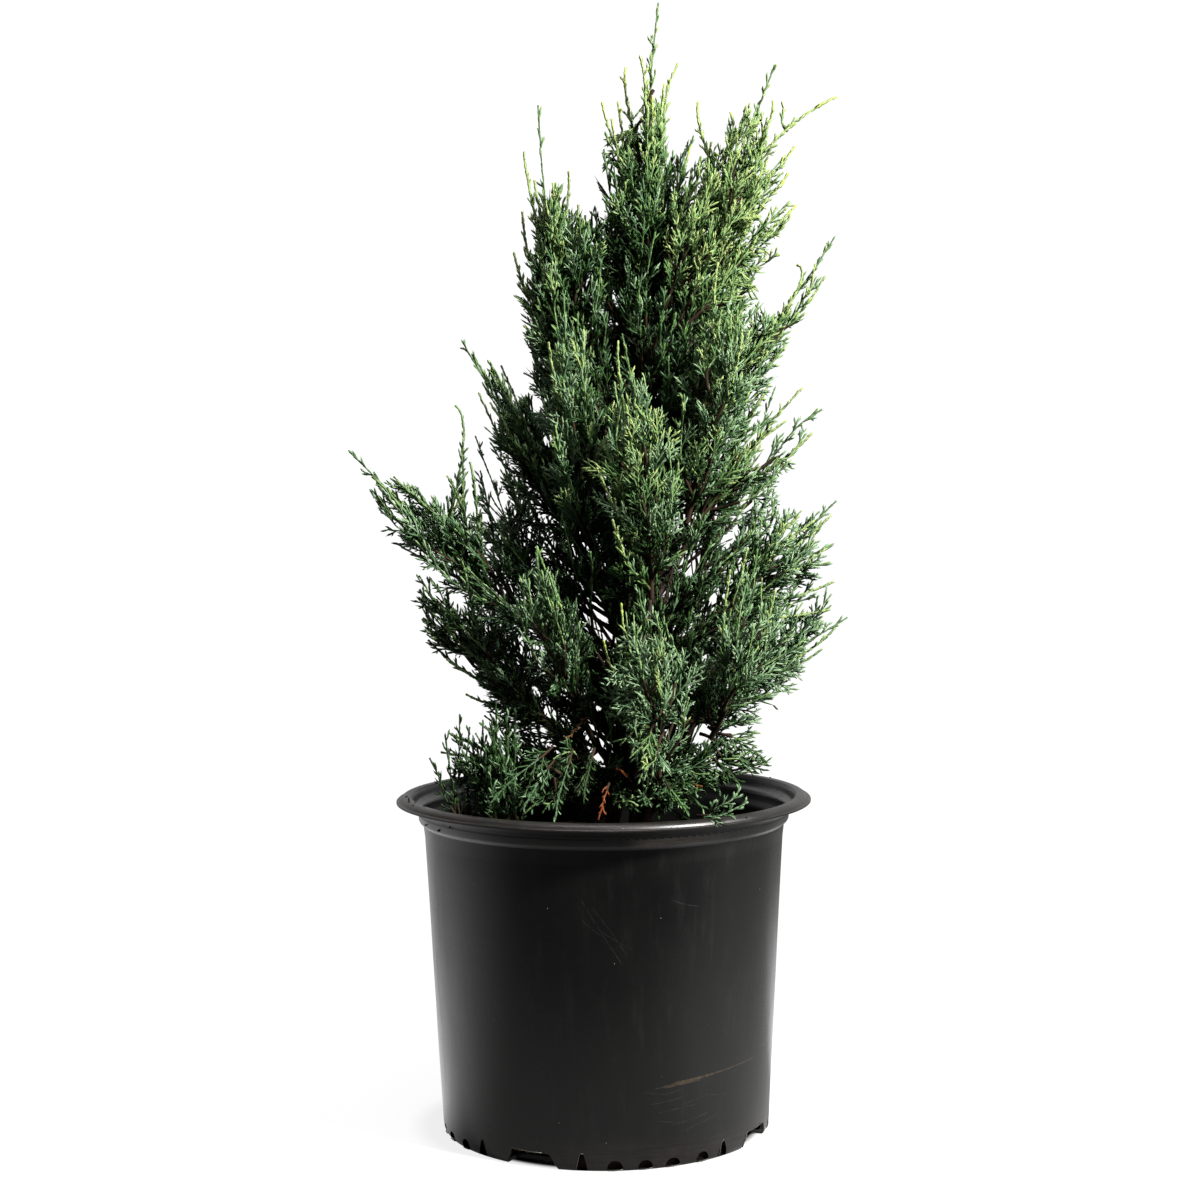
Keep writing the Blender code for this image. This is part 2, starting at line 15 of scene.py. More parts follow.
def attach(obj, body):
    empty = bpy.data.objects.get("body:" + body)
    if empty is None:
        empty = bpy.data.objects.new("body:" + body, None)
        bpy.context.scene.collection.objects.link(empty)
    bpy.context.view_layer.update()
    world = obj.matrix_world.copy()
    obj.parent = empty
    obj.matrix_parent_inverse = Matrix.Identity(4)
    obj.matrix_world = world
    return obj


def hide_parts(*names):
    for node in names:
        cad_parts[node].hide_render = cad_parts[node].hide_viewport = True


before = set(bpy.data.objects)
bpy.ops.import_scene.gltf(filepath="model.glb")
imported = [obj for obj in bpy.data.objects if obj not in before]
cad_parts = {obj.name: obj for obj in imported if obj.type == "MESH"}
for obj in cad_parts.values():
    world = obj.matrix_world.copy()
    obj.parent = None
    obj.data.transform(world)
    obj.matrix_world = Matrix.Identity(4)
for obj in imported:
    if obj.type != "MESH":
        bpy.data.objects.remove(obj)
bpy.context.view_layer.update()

SCENE = bpy.context.scene
RNG = np.random.default_rng(41207)

# ------------------------------------------------------------ named sizes
POT_HEIGHT = 0.254
POT_FOOT_R = 0.1212
POT_LOW_R = 0.1240
POT_TOP_R = 0.1356
POT_SHOULDER_R = 0.1402
POT_LIP_R = 0.1542
POT_FLANGE_R = 0.1565
POT_WALL = 0.0021
POT_FLOOR = 0.0032
SOIL_TOP = 0.2080

SLOT_CENTRES = (-26.0, 63.5, 154.0, 243.5)
SLIT_OFFSETS = (-20.5, 17.8)
MOON_OFFSETS = (28.8, 39.0, 48.6, 60.0)

CAMERA_AT = (0.0, -1.6815, 0.49595)
CAMERA_PITCH = 3.2846
CAMERA_ROLL = -0.477
CAMERA_TURN = 0.05
CAMERA_LENS = 66.99

BRANCHLET_R = 0.00090     # half thickness of a scale-leaf branchlet
TIPLET_R = 0.00076
PIECE_LIMIT = 190000      # triangles in one joined piece


# ---------------------------------------------------------------- helpers
def link(obj):
    SCENE.collection.objects.link(obj)
    return obj


def unit(v):
    n = np.linalg.norm(v, axis=-1, keepdims=True)
    return v / np.maximum(n, 1e-12)


def mesh_object(name, verts, tris, mat, smooth=True):
    """A mesh object from an array of points and an array of triangles."""
    verts = np.ascontiguousarray(verts, dtype=np.float32)
    tris = np.ascontiguousarray(tris, dtype=np.int32)
    me = bpy.data.meshes.new(name)
    me.vertices.add(len(verts))
    me.vertices.foreach_set("co", verts.ravel())
    me.loops.add(tris.size)
    me.loops.foreach_set("vertex_index", tris.ravel())
    me.polygons.add(len(tris))
    me.polygons.foreach_set("loop_start", np.arange(0, tris.size, 3, dtype=np.int32))
    me.update(calc_edges=True)
    me.validate()
    if smooth:
        me.shade_smooth()
    obj = bpy.data.objects.new(name, me)
    link(obj)
    obj.data.materials.append(mat)
    return obj


class Graph:
    """Small helper for building a material's node tree."""

    def __init__(self, name):
        self.mat = bpy.data.materials.new(name)
        self.mat.use_nodes = True
        self.tree = self.mat.node_tree
        self.shader = self.tree.nodes["Principled BSDF"]

    def node(self, kind, **settings):
        n = self.tree.nodes.new(kind)
        for key, value in settings.items():
            setattr(n, key, value)
        return n

    def plug(self, value, socket):
        if isinstance(value, bpy.types.NodeSocket):
            self.tree.links.new(value, socket)
        else:
            socket.default_value = value

    def math(self, op, a, b=None, c=None, clamp=False):
        n = self.node("ShaderNodeMath", operation=op, use_clamp=clamp)
        for value, socket in zip((a, b, c), n.inputs):
            if value is not None:
                self.plug(value, socket)
        return n.outputs[0]

    def ramp(self, value, low, high, out_low=0.0, out_high=1.0, smooth=True):
        n = self.node("ShaderNodeMapRange", interpolation_type="SMOOTHSTEP" if smooth else "LINEAR")
        self.plug(value, n.inputs["Value"])
        n.inputs["From Min"].default_value = low
        n.inputs["From Max"].default_value = high
        n.inputs["To Min"].default_value = out_low
        n.inputs["To Max"].default_value = out_high
        return n.outputs["Result"]

    def mix(self, factor, a, b):
        n = self.node("ShaderNodeMix", data_type="RGBA")
        self.plug(factor, n.inputs[0])
        self.plug(a, n.inputs[6])
        self.plug(b, n.inputs[7])
        return n.outputs[2]

    def noise(self, scale, detail=4.0, rough=0.5, vector=None, stretch=None):
        n = self.node("ShaderNodeTexNoise")
        n.inputs["Scale"].default_value = scale
        n.inputs["Detail"].default_value = detail
        n.inputs["Roughness"].default_value = rough
        source = vector or self.coords()
        if stretch:
            m = self.node("ShaderNodeMapping")
            self.plug(source, m.inputs["Vector"])
            m.inputs["Scale"].default_value = stretch
            source = m.outputs[0]
        self.plug(source, n.inputs["Vector"])
        return n.outputs["Fac"]

    def coords(self):
        if not hasattr(self, "_coords"):
            self._coords = self.node("ShaderNodeTexCoord").outputs["Object"]
        return self._coords

    def xyz(self):
        if not hasattr(self, "_xyz"):
            n = self.node("ShaderNodeSeparateXYZ")
            self.plug(self.coords(), n.inputs[0])
            self._xyz = n.outputs
        return self._xyz

    def bump(self, height, strength, distance):
        n = self.node("ShaderNodeBump")
        n.inputs["Strength"].default_value = strength
        n.inputs["Distance"].default_value = distance
        self.plug(height, n.inputs["Height"])
        self.plug(n.outputs[0], self.shader.inputs["Normal"])
        return n


def plain(name, colour, roughness=0.6, specular=0.35):
    g = Graph(name)
    g.shader.inputs["Base Color"].default_value = (*colour, 1.0)
    g.shader.inputs["Roughness"].default_value = roughness
    g.shader.inputs["Specular IOR Level"].default_value = specular
    return g.mat


# --------------------------------------------------------------- materials
def streak(g, angle_r, z, a0, z0, a1, z1, width, sag=0.0):
    """Mask of one scratch on the wall, between two places given as degrees round
    the wall and metres up it."""
    radius = 0.129
    u0, u1 = math.radians(a0) * radius, math.radians(a1) * radius
    length = math.hypot(u1 - u0, z1 - z0)
    cx, cz = (u1 - u0) / length, (z1 - z0) / length
    du = g.math("SUBTRACT", angle_r, u0)
    dz = g.math("SUBTRACT", z, z0)
    along = g.math("ADD", g.math("MULTIPLY", du, cx), g.math("MULTIPLY", dz, cz))
    across = g.math("SUBTRACT", g.math("MULTIPLY", dz, cx), g.math("MULTIPLY", du, cz))
    t = g.math("DIVIDE", along, length)
    if sag:
        arch = g.math("MULTIPLY", g.math("MULTIPLY", t, g.math("SUBTRACT", 1.0, t)), 4.0 * sag)
        across = g.math("ADD", across, arch)
    line = g.ramp(g.math("ABSOLUTE", across), width * 0.25, width, 1.0, 0.0)
    inside = g.math("MULTIPLY", g.ramp(t, 0.0, 0.08), g.ramp(t, 0.9, 1.0, 1.0, 0.0))
    return g.math("MULTIPLY", line, inside)


def pot_material():
    g = Graph("black_nursery_plastic")
    x, y, z = g.xyz()
    angle = g.math("ARCTAN2", x, g.math("MULTIPLY", y, -1.0))
    run = g.math("MULTIPLY", angle, 0.129)
    radius = g.math("SQRT", g.math("ADD", g.math("MULTIPLY", x, x), g.math("MULTIPLY", y, y)))
    wide = g.noise(9.0, 3.0, 0.55)
    fine = g.noise(70.0, 6.0, 0.65)
    dusty = g.noise(26.0, 8.0, 0.7)
    # streaks that run round the lip, smears that run down the wall
    band = g.node("ShaderNodeCombineXYZ")
    for value, socket in ((g.math("MULTIPLY", angle, 2.2), band.inputs[0]), (g.math("MULTIPLY", radius, 260.0), band.inputs[1]),
                          (g.math("MULTIPLY", z, 260.0), band.inputs[2])):
        g.plug(value, socket)
    streaky = g.noise(1.6, 6.0, 0.65, vector=band.outputs[0])
    fall = g.node("ShaderNodeCombineXYZ")
    for value, socket in ((g.math("MULTIPLY", run, 90.0), fall.inputs[0]), (g.math("MULTIPLY", z, 14.0), fall.inputs[1])):
        g.plug(value, socket)
    smear = g.noise(1.0, 7.0, 0.68, vector=fall.outputs[0])
    # dust gathers on the lip and flange, a little on the shoulder and foot
    lip = g.math("MULTIPLY", g.ramp(z, 0.2435, 0.2505), g.ramp(radius, 0.1405, 0.146))
    shoulder = g.math("MULTIPLY", g.ramp(z, 0.228, 0.236), g.ramp(z, 0.2445, 0.241))
    foot = g.ramp(z, 0.030, 0.0, 0.0, 0.45)
    side = g.ramp(x, -0.11, 0.04, 1.0, 0.55)
    dust = g.math("MULTIPLY", g.math("ADD", g.math("MULTIPLY", g.math("MULTIPLY", lip, side), 0.62),
                                     g.math("ADD", g.math("MULTIPLY", shoulder, 0.16), foot)),
                  g.ramp(dusty, 0.30, 0.72, 0.25, 1.0))
    dust = g.math("MULTIPLY", dust, g.ramp(streaky, 0.34, 0.62, 0.30, 1.15))
    # a paler patch on the shoulder, right of the middle: a painted highlight
    patch = g.math("MULTIPLY", g.math("MULTIPLY", g.ramp(angle, 0.08, 0.24), g.ramp(angle, 0.74, 0.42)),
                   g.math("MULTIPLY", g.ramp(z, 0.2335, 0.2355), g.ramp(z, 0.2412, 0.2390)))
    patch = g.math("MULTIPLY", patch, g.ramp(streaky, 0.35, 0.60, 0.35, 1.0))
    base = g.mix(g.ramp(wide, 0.3, 0.7), (0.0018, 0.0018, 0.0019, 1), (0.0030, 0.0030, 0.0030, 1))
    base = g.mix(g.math("MULTIPLY", g.ramp(fine, 0.50, 0.80), 0.22), base, (0.0090, 0.0088, 0.0086, 1))
    # scratches: a long scuff with soil in it, and fine pale ones
    scuff = None
    for row in ((17.0, 0.0597, 47.0, 0.0652, 0.00048, -0.0005), (21.0, 0.0620, 61.0, 0.0664, 0.00030, -0.0008),
                (19.0, 0.0588, 39.0, 0.0640, 0.00042, -0.0003), (22.0, 0.0612, 41.0, 0.0651, 0.00034, -0.0004),
                (15.5, 0.0592, 33.0, 0.0616, 0.00034, 0.0002), (25.0, 0.0627, 36.0, 0.0640, 0.00030, 0.0)):
        mask = streak(g, run, z, *row)
        scuff = mask if scuff is None else g.math("MAXIMUM", scuff, mask)
    pale = None
    for row in ((-7.5, 0.199, 6.0, 0.148, 0.00026, 0.0006), (-4.0, 0.192, 7.0, 0.156, 0.00020, -0.0006),
                (-9.0, 0.187, -1.0, 0.171, 0.00020, 0.0006), (-2.0, 0.176, 9.0, 0.160, 0.00020, 0.0005),
                (14.0, 0.048, 27.0, 0.052, 0.00026, 0.0008), (17.0, 0.041, 31.0, 0.044, 0.00026, -0.0006),
                (19.0, 0.054, 26.0, 0.057, 0.00024, 0.0), (22.0, 0.032, 36.0, 0.037, 0.00026, 0.001),
                (27.0, 0.026, 40.0, 0.033, 0.00024, -0.0006), (16.0, 0.036, 25.0, 0.033, 0.00024, 0.0004),
                (24.0, 0.045, 34.0, 0.049, 0.00022, 0.0), (12.0, 0.057, 20.0, 0.054, 0.00022, 0.0),
                (34.0, 0.050, 44.0, 0.047, 0.00022, 0.0004),
                (-38.0, 0.120, -30.0, 0.088, 0.00025, 0.001), (96.0, 0.14, 112.0, 0.11, 0.0004, 0.002),
                (-120.0, 0.07, -96.0, 0.085, 0.0004, -0.002), (160.0, 0.17, 186.0, 0.16, 0.0004, 0.002),
                (20.0, 0.196, 33.0, 0.188, 0.0003, 0.002), (-64.0, 0.05, -50.0, 0.058, 0.0003, 0.001)):
        mask = streak(g, run, z, *row)
        pale = mask if pale is None else g.math("MAXIMUM", pale, mask)
    broken = g.ramp(g.noise(240.0, 3.0, 0.6), 0.36, 0.58, 0.15, 1.0)
    pale = g.math("MULTIPLY", g.math("MULTIPLY", pale, broken), 0.60)
    brown = g.math("MULTIPLY", scuff, g.ramp(g.noise(120.0, 4.0, 0.6), 0.34, 0.62, 0.10, 1.0))
    # tiny pale specks of grit
    cells = g.node("ShaderNodeTexVoronoi")
    g.plug(g.coords(), cells.inputs["Vector"])
    cells.inputs["Scale"].default_value = 150.0
    pick = g.node("ShaderNodeSeparateColor")
    g.plug(cells.outputs["Color"], pick.inputs[0])
    speck = g.math("MULTIPLY", g.ramp(cells.outputs["Distance"], 0.030, 0.070, 1.0, 0.0),
                   g.ramp(pick.outputs[0], 0.925, 0.985))
    colour = g.mix(g.math("MULTIPLY", dust, 0.62), base, (0.044, 0.034, 0.026, 1))
    colour = g.mix(g.math("MULTIPLY", g.ramp(smear, 0.50, 0.74), 0.30), colour, (0.0130, 0.0130, 0.0130, 1))
    # the shoulder patch in pale warm grey: painted highlight
    colour = g.mix(g.math("MULTIPLY", patch, 0.85), colour, (0.290, 0.256, 0.216, 1))
    colour = g.mix(g.math("MULTIPLY", brown, 0.50), colour, (0.085, 0.060, 0.034, 1))
    colour = g.mix(g.math("MULTIPLY", pale, 0.55), colour, (0.060, 0.060, 0.060, 1))
    colour = g.mix(g.math("MULTIPLY", speck, 0.8), colour, (0.26, 0.25, 0.23, 1))
    g.plug(colour, g.shader.inputs["Base Color"])
    rough = g.math("ADD", g.ramp(wide, 0.25, 0.75, 0.22, 0.29), g.math("MULTIPLY", dust, 0.16))
    rough = g.math("ADD", rough, g.math("MULTIPLY", lip, 0.13))
    rough = g.math("ADD", rough, g.ramp(smear, 0.45, 0.75, 0.0, 0.08))
    g.plug(rough, g.shader.inputs["Roughness"])
    g.shader.inputs["Specular IOR Level"].default_value = 0.42
    height = g.math("ADD", g.math("MULTIPLY", g.noise(420.0, 3.0, 0.6), 0.25),
                    g.math("MULTIPLY", g.noise(38.0, 3.0, 0.5), 1.0))
    height = g.math("SUBTRACT", height, g.math("MULTIPLY", g.math("ADD", pale, brown), 0.6))
    g.bump(height, 0.12, 0.0012)
    return g.mat


def soil_material():
    g = Graph("bark_growing_mix")
    a = g.noise(60.0, 8.0, 0.7)
    b = g.noise(240.0, 6.0, 0.7)
    colour = g.mix(g.ramp(a, 0.35, 0.65), (0.012, 0.008, 0.006, 1), (0.045, 0.028, 0.018, 1))
    colour = g.mix(g.math("MULTIPLY", g.ramp(b, 0.55, 0.75), 0.5), colour, (0.085, 0.055, 0.035, 1))
    g.plug(colour, g.shader.inputs["Base Color"])
    g.shader.inputs["Roughness"].default_value = 0.95
    g.bump(g.math("ADD", a, g.math("MULTIPLY", b, 0.5)), 0.8, 0.004)
    return g.mat


def bark_material(name, light, dark):
    g = Graph(name)
    fibre = g.noise(300.0, 6.0, 0.65, stretch=(1.0, 1.0, 0.10))
    patch = g.noise(55.0, 5.0, 0.6, stretch=(1.0, 1.0, 0.4))
    colour = g.mix(g.ramp(fibre, 0.36, 0.62), (*dark, 1), (*light, 1))
    colour = g.mix(g.math("MULTIPLY", g.ramp(patch, 0.52, 0.70), 0.55), colour, (0.060, 0.040, 0.028, 1))
    g.plug(colour, g.shader.inputs["Base Color"])
    g.shader.inputs["Roughness"].default_value = 0.85
    g.bump(fibre, 0.7, 0.0015)
    return g.mat


POT_MAT = pot_material()
SOIL_MAT = soil_material()
BARK_MAT = bark_material("juniper_bark", (0.048, 0.022, 0.013), (0.014, 0.008, 0.006))
CHIP_MAT = plain("bark_chips", (0.055, 0.032, 0.020), 0.9, 0.2)
CRUMB_MAT = plain("soil_crumbs", (0.012, 0.008, 0.006), 0.95, 0.15)
RECESS_MAT = plain("recess_soil", (0.016, 0.010, 0.007), 0.8, 0.2)
# pale plastic for beads along the edges of the foot openings: painted highlights
EDGE_HIGHLIGHT_MAT = plain("edge_painted_highlight", (0.040, 0.038, 0.036), 0.45, 0.4)
CAUGHT_MAT = plain("caught_mix", (0.110, 0.052, 0.018), 0.9, 0.1)
# a duller copy of the pot's plastic for its inside and the underside of its lip: painted shade
POT_SHADED_MAT = plain("pot_plastic_painted_shade", (0.0030, 0.0030, 0.0030), 0.42, 0.16)
TWIG_MATS = {
    "brown": plain("twig_brown", (0.026, 0.015, 0.009), 0.80, 0.12),
    "green": plain("twig_green", (0.060, 0.084, 0.024), 0.65, 0.15),
}
# foliage shades, from the painted shade of the crown's inside to the newest growth
SHADES = [
    ("leaf_inner", (0.007, 0.014, 0.004)),
    ("leaf_deep", (0.0190, 0.0475, 0.0120)),
    ("leaf_blue", (0.048, 0.093, 0.043)),
    ("leaf_glaucous", (0.130, 0.198, 0.106)),
    ("leaf_mid", (0.054, 0.108, 0.033)),
    ("leaf_fresh", (0.109, 0.174, 0.062)),
    ("leaf_yellow", (0.176, 0.230, 0.080)),
    ("leaf_lime", (0.235, 0.302, 0.064)),
    ("leaf_dead", (0.135, 0.036, 0.009)),
    ("leaf_tan", (0.200, 0.105, 0.042)),
]
SHADE_MATS = [plain(n, c, 0.50, 0.14) for n, c in SHADES]
INNER, DEEP, BLUE, GLAUCOUS, MID, FRESH, YELLOW, LIME, DEAD, TAN = range(10)
# the shade of the older foot and of the newest tips of a spray of each shade
OLDER = np.array([INNER, INNER, DEEP, BLUE, DEEP, MID, FRESH, YELLOW, DEAD, TAN])
NEWER = np.array([DEEP, BLUE, GLAUCOUS, GLAUCOUS, FRESH, YELLOW, YELLOW, LIME, DEAD, TAN])


# --------------------------------------------------------------- container
def wall_radius(z):
    return POT_LOW_R + (POT_TOP_R - POT_LOW_R) * (z - 0.008) / (0.230 - 0.008)


def rounded(points, step=0.0014, turns=2):
    """The profile with its corners eased."""
    pts = [np.array(p, float) for p in points]
    for _ in range(turns):
        out = [pts[0]]
        for a, b, c in zip(pts, pts[1:], pts[2:]):
            cut = min(0.25 * np.linalg.norm(b - a), 0.25 * np.linalg.norm(c - b), 0.0008)
            out.append(b + (a - b) / max(np.linalg.norm(a - b), 1e-9) * cut)
            out.append(b + (c - b) / max(np.linalg.norm(c - b), 1e-9) * cut)
        out.append(pts[-1])
        pts = out
    return pts


def pot_profile():
    inside = [
        (0.0, POT_FLOOR), (0.060, POT_FLOOR), (POT_FOOT_R - 0.0015, POT_FLOOR),
        (wall_radius(0.0066) - POT_WALL - 0.0006, 0.0066),
    ]
    inside += [(wall_radius(z) - POT_WALL, z) for z in np.linspace(0.020, 0.2305, 12)]
    inside += [
        (POT_TOP_R - 0.0014, 0.2332), (POT_SHOULDER_R - 0.0028, 0.2363),
        (POT_SHOULDER_R - 0.0021, 0.2414), (0.1389, 0.2438), (0.1425, 0.2450),
        (0.1436, 0.2475), (0.1440, 0.2510), (0.1456, 0.2535),
    ]
    lip = [
        (0.1478, POT_HEIGHT), (0.1512, 0.2535), (0.1533, 0.2520), (0.1540, 0.2504),
        (POT_FLANGE_R - 0.0004, 0.2502), (POT_FLANGE_R, 0.2498), (POT_FLANGE_R, 0.2488), (0.1532, 0.2483),
        (0.1463, 0.2470),
        (0.1444, 0.2446), (0.1412, 0.2426), (POT_SHOULDER_R, 0.2408),
        (POT_SHOULDER_R - 0.0005, 0.2352), (POT_TOP_R + 0.0008, 0.2322),
    ]
    outside = [(wall_radius(z), z) for z in np.linspace(0.2298, 0.0080, 26)]
    outside += [(POT_LOW_R - 0.0005, 0.0030), (POT_FOOT_R + 0.0012, 0.0007), (POT_FOOT_R, 0.0), (0.060, 0.0), (0.0, 0.0)]
    return rounded(inside, turns=1) + rounded(lip[:4], turns=1) + [np.array(p, float) for p in lip[4:8]] + rounded(lip[8:], turns=1) + rounded(outside, turns=1)[1:]


def foot_cutters():
    """Openings through the corner of wall and floor, as one mesh."""
    bm = bmesh.new()

    def prism(angle, outline, inner=0.1110):
        a = math.radians(angle - 90.0)
        rows = []
        for r in (inner, 0.1330):
            rows.append([bm.verts.new((
                r * math.cos(a) - s * math.sin(a), r * math.sin(a) + s * math.cos(a), h))
                for s, h in outline])
        n = len(outline)
        for i in range(n):
            j = (i + 1) % n
            bm.faces.new((rows[0][i], rows[0][j], rows[1][j], rows[1][i]))
        bm.faces.new(rows[0][::-1])
        bm.faces.new(rows[1])

    def arch(width, height, square, foot=-0.003, n=14):
        out = [(-width / 2, foot)]
        for i in range(n + 1):
            t = math.pi * (1.0 - i / n)
            c, s = math.cos(t), math.sin(t)
            across = math.copysign(abs(c) ** square, c) * width / 2
            up = abs(s) ** square * height
            if up > foot + 0.0003:
                out.append((across, up))
        out.append((width / 2, foot))
        return out

    for k, centre in enumerate(SLOT_CENTRES):
        # a wide opening with sloping ends, its upper edge a little uneven
        half, top = 0.0203 + 0.0006 * (k % 2), 0.0118
        prism(centre, [(-half, -0.003), (-half, 0.0012), (-half * 0.95, 0.0052), (-half * 0.86, 0.0062),
                       (-half * 0.80, top - 0.0006), (-half * 0.72, top + 0.0004), (-half * 0.40, top - 0.0002),
                       (0.0, top - 0.0006), (half * 0.45, top - 0.0003), (half * 0.70, top - 0.0008),
                       (half * 0.80, top - 0.0030), (half * 0.92, 0.0040), (half, 0.0010), (half, -0.003)], 0.1060)
        for j, off in enumerate(SLIT_OFFSETS):
            tall = 0.0128 + 0.0006 * j
            prism(centre + off, [(-0.0041, 0.0007), (-0.0036, 0.0040), (-0.0027, 0.0082), (-0.0017, tall - 0.0012),
                                 (-0.0004, tall), (0.0010, tall - 0.0004), (0.0020, tall - 0.0028),
                                 (0.0029, 0.0075), (0.0036, 0.0036), (0.0041, 0.0007)], 0.1165)
        for j, off in enumerate(MOON_OFFSETS):
            prism(centre + off, arch(0.0118 - 0.0006 * (j % 2), 0.0080 - 0.0004 * (j % 3), 0.85, 0.0011), 0.1150)
    bmesh.ops.recalc_face_normals(bm, faces=bm.faces)
    me = bpy.data.meshes.new("foot_openings")
    bm.to_mesh(me)
    bm.free()
    return me


def make_pot(steps=144):
    profile = pot_profile()
    verts, tris = [], []
    ring_ids = []
    for k, (r, z) in enumerate(profile):
        if r < 1e-6:
            ring_ids.append([len(verts)])
            verts.append((0.0, 0.0, z))
            continue
        ids = []
        for i in range(steps):
            a = math.tau * i / steps
            body = min(max((z - 0.01) / 0.05, 0.0), 1.0) * min(max((0.228 - z) / 0.03, 0.0), 1.0)
            wob = noise.noise(Vector((math.cos(a) * 1.6, math.sin(a) * 1.6, z * 9.0)))
            rr = r + 0.0005 * body * wob
            # the lip sags a hair between hands, as thin moulded plastic does
            zz = z + 0.0005 * min(max((z - 0.225) / 0.02, 0.0), 1.0) * math.sin(2 * a + 0.6) - \
                0.0005 * min(max((z - 0.225) / 0.02, 0.0), 1.0)
            ids.append(len(verts))
            verts.append((rr * math.cos(a), rr * math.sin(a), max(zz, 0.0)))
        ring_ids.append(ids)
    for a, b in zip(ring_ids, ring_ids[1:]):
        if len(a) == 1:
            tris += [(a[0], b[i], b[(i + 1) % steps]) for i in range(steps)]
        elif len(b) == 1:
            tris += [(a[i], b[0], a[(i + 1) % steps]) for i in range(steps)]
        else:
            for i in range(steps):
                j = (i + 1) % steps
                tris += [(a[i], b[i], b[j]), (a[i], b[j], a[j])]
    obj = mesh_object("pot_shell", np.array(verts), np.array(tris), POT_MAT)
    bm = bmesh.new()
    bm.from_mesh(obj.data)
    if bm.calc_volume(signed=True) < 0:
        bmesh.ops.reverse_faces(bm, faces=bm.faces)
    bm.to_mesh(obj.data)
    bm.free()
    cut = link(bpy.data.objects.new("cut", foot_cutters()))
    mod = obj.modifiers.new("openings", "BOOLEAN")
    mod.object = cut
    mod.operation = "DIFFERENCE"
    mod.solver = "EXACT"
    bpy.context.view_layer.update()
    done = bpy.data.meshes.new_from_object(obj.evaluated_get(bpy.context.evaluated_depsgraph_get()))
    obj.modifiers.clear()
    obj.data = done
    bpy.data.objects.remove(cut, do_unlink=True)
    done.shade_smooth()
    done.set_sharp_from_angle(angle=math.radians(38))
    done.materials.clear()
    done.materials.append(POT_MAT)
    done.materials.append(POT_SHADED_MAT)
    for face in done.polygons:
        r, z = math.hypot(face.center.x, face.center.y), face.center.z
        top = max(done.vertices[v].co.z for v in face.vertices)
        middle = float(np.interp(z, [0.008, 0.230, 0.2352, 0.2414], [POT_LOW_R - 0.5 * POT_WALL, POT_TOP_R - 0.5 * POT_WALL, 0.1380, 0.1393]))
        inside = z > POT_FLOOR and r < middle and top < 0.24085
        # the inside, the neck and the underside of the lip take a duller copy of the plastic: painted shade
        neck = r > middle + 0.0004 and z > 0.2400 and face.normal.z < -0.25
        if inside or neck:
            face.material_index = 1
    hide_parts("container")
    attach(obj, "root")

    # dark backs of the small foot recesses, and pale beads round the openings: painted highlights on their edges
    verts, tris = [], []
    for centre in SLOT_CENTRES:
        for low, high in ((-24.0, -16.5), (14.5, 65.0)):
            steps = max(4, int(high - low))
            start = len(verts)
            for i in range(steps + 1):
                a = math.radians(centre + low + (high - low) * i / steps - 90.0)
                for r, z in ((0.1196, 0.0010), (0.1200, 0.0150), (0.1190, 0.0150), (0.1186, 0.0010)):
                    verts.append((r * math.cos(a), r * math.sin(a), z))
            for i in range(steps):
                for j in range(4):
                    a, b = start + i * 4 + j, start + i * 4 + (j + 1) % 4
                    tris += [(a, a + 4, b + 4), (a, b + 4, b)]
            e = start + steps * 4
            tris += [(start, start + 1, start + 2), (start, start + 2, start + 3),
                     (e, e + 2, e + 1), (e, e + 3, e + 2)]
    backs = mesh_object("foot_recess_backs", np.array(verts), np.array(tris), RECESS_MAT, smooth=False)
    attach(backs, "root")
    # pale beads along the edges of the openings: painted highlights
    parts = []
    for k, centre in enumerate(SLOT_CENTRES):
        for j, off in enumerate(SLIT_OFFSETS):
            tall = 0.0128 + 0.0006 * j
            parts.append(edge_bead(centre + off, [(-0.0041 * 1.0, 0.0010), (-0.0036, 0.0040), (-0.0027, 0.0082),
                                                  (-0.0017, tall - 0.0012), (-0.0004, tall), (0.0010, tall - 0.0004)], 0.00038))
        for j, off in enumerate(MOON_OFFSETS):
            w = 0.0118 - 0.0006 * (j % 2)
            parts.append(edge_bead(centre + off, [(-w * 0.42, 0.0009), (-w * 0.10, 0.0007), (w * 0.25, 0.0010), (w * 0.50, 0.0016)], 0.00042))
        parts.append(edge_bead(centre, [(-0.0204, 0.0014), (-0.0195, 0.0052), (-0.0176, 0.0064), (-0.0163, 0.0112),
                                        (-0.0146, 0.0123), (-0.0080, 0.0119), (0.0, 0.0115), (0.0091, 0.0117)], 0.00040))
    v, t = joined(parts)
    highlight_beads = mesh_object("foot_edge_painted_highlights", v, t, EDGE_HIGHLIGHT_MAT)
    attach(highlight_beads, "root")
    # mix caught along the top of each wide opening
    parts = []
    for k, centre in enumerate(SLOT_CENTRES):
        spots = [(-0.0155 + 0.0014 * i + 0.0006 * RNG.normal(), 0.0112 + 0.0004 * RNG.normal()) for i in range(14 - 2 * (k % 2))]
        parts.append(edge_bead(centre, spots, 0.00085, 0.1222))
    v, t = joined(parts)
    caught = mesh_object("caught_mix", v, t, CAUGHT_MAT, smooth=False)
    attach(caught, "root")
    return obj


def edge_bead(angle, outline, radius, out=None):
    """A thin bead on the wall's outside along an outline given round and up it."""
    pts = []
    for s, h in outline:
        r = (wall_radius(max(h, 0.008)) - (0.0 if h > 0.003 else 0.0010)) if out is None else out
        a = math.radians(angle - 90.0) + s / r
        pts.append((r * math.cos(a), r * math.sin(a), h))
    return tube(np.array(pts), np.full(len(pts), radius), 5)


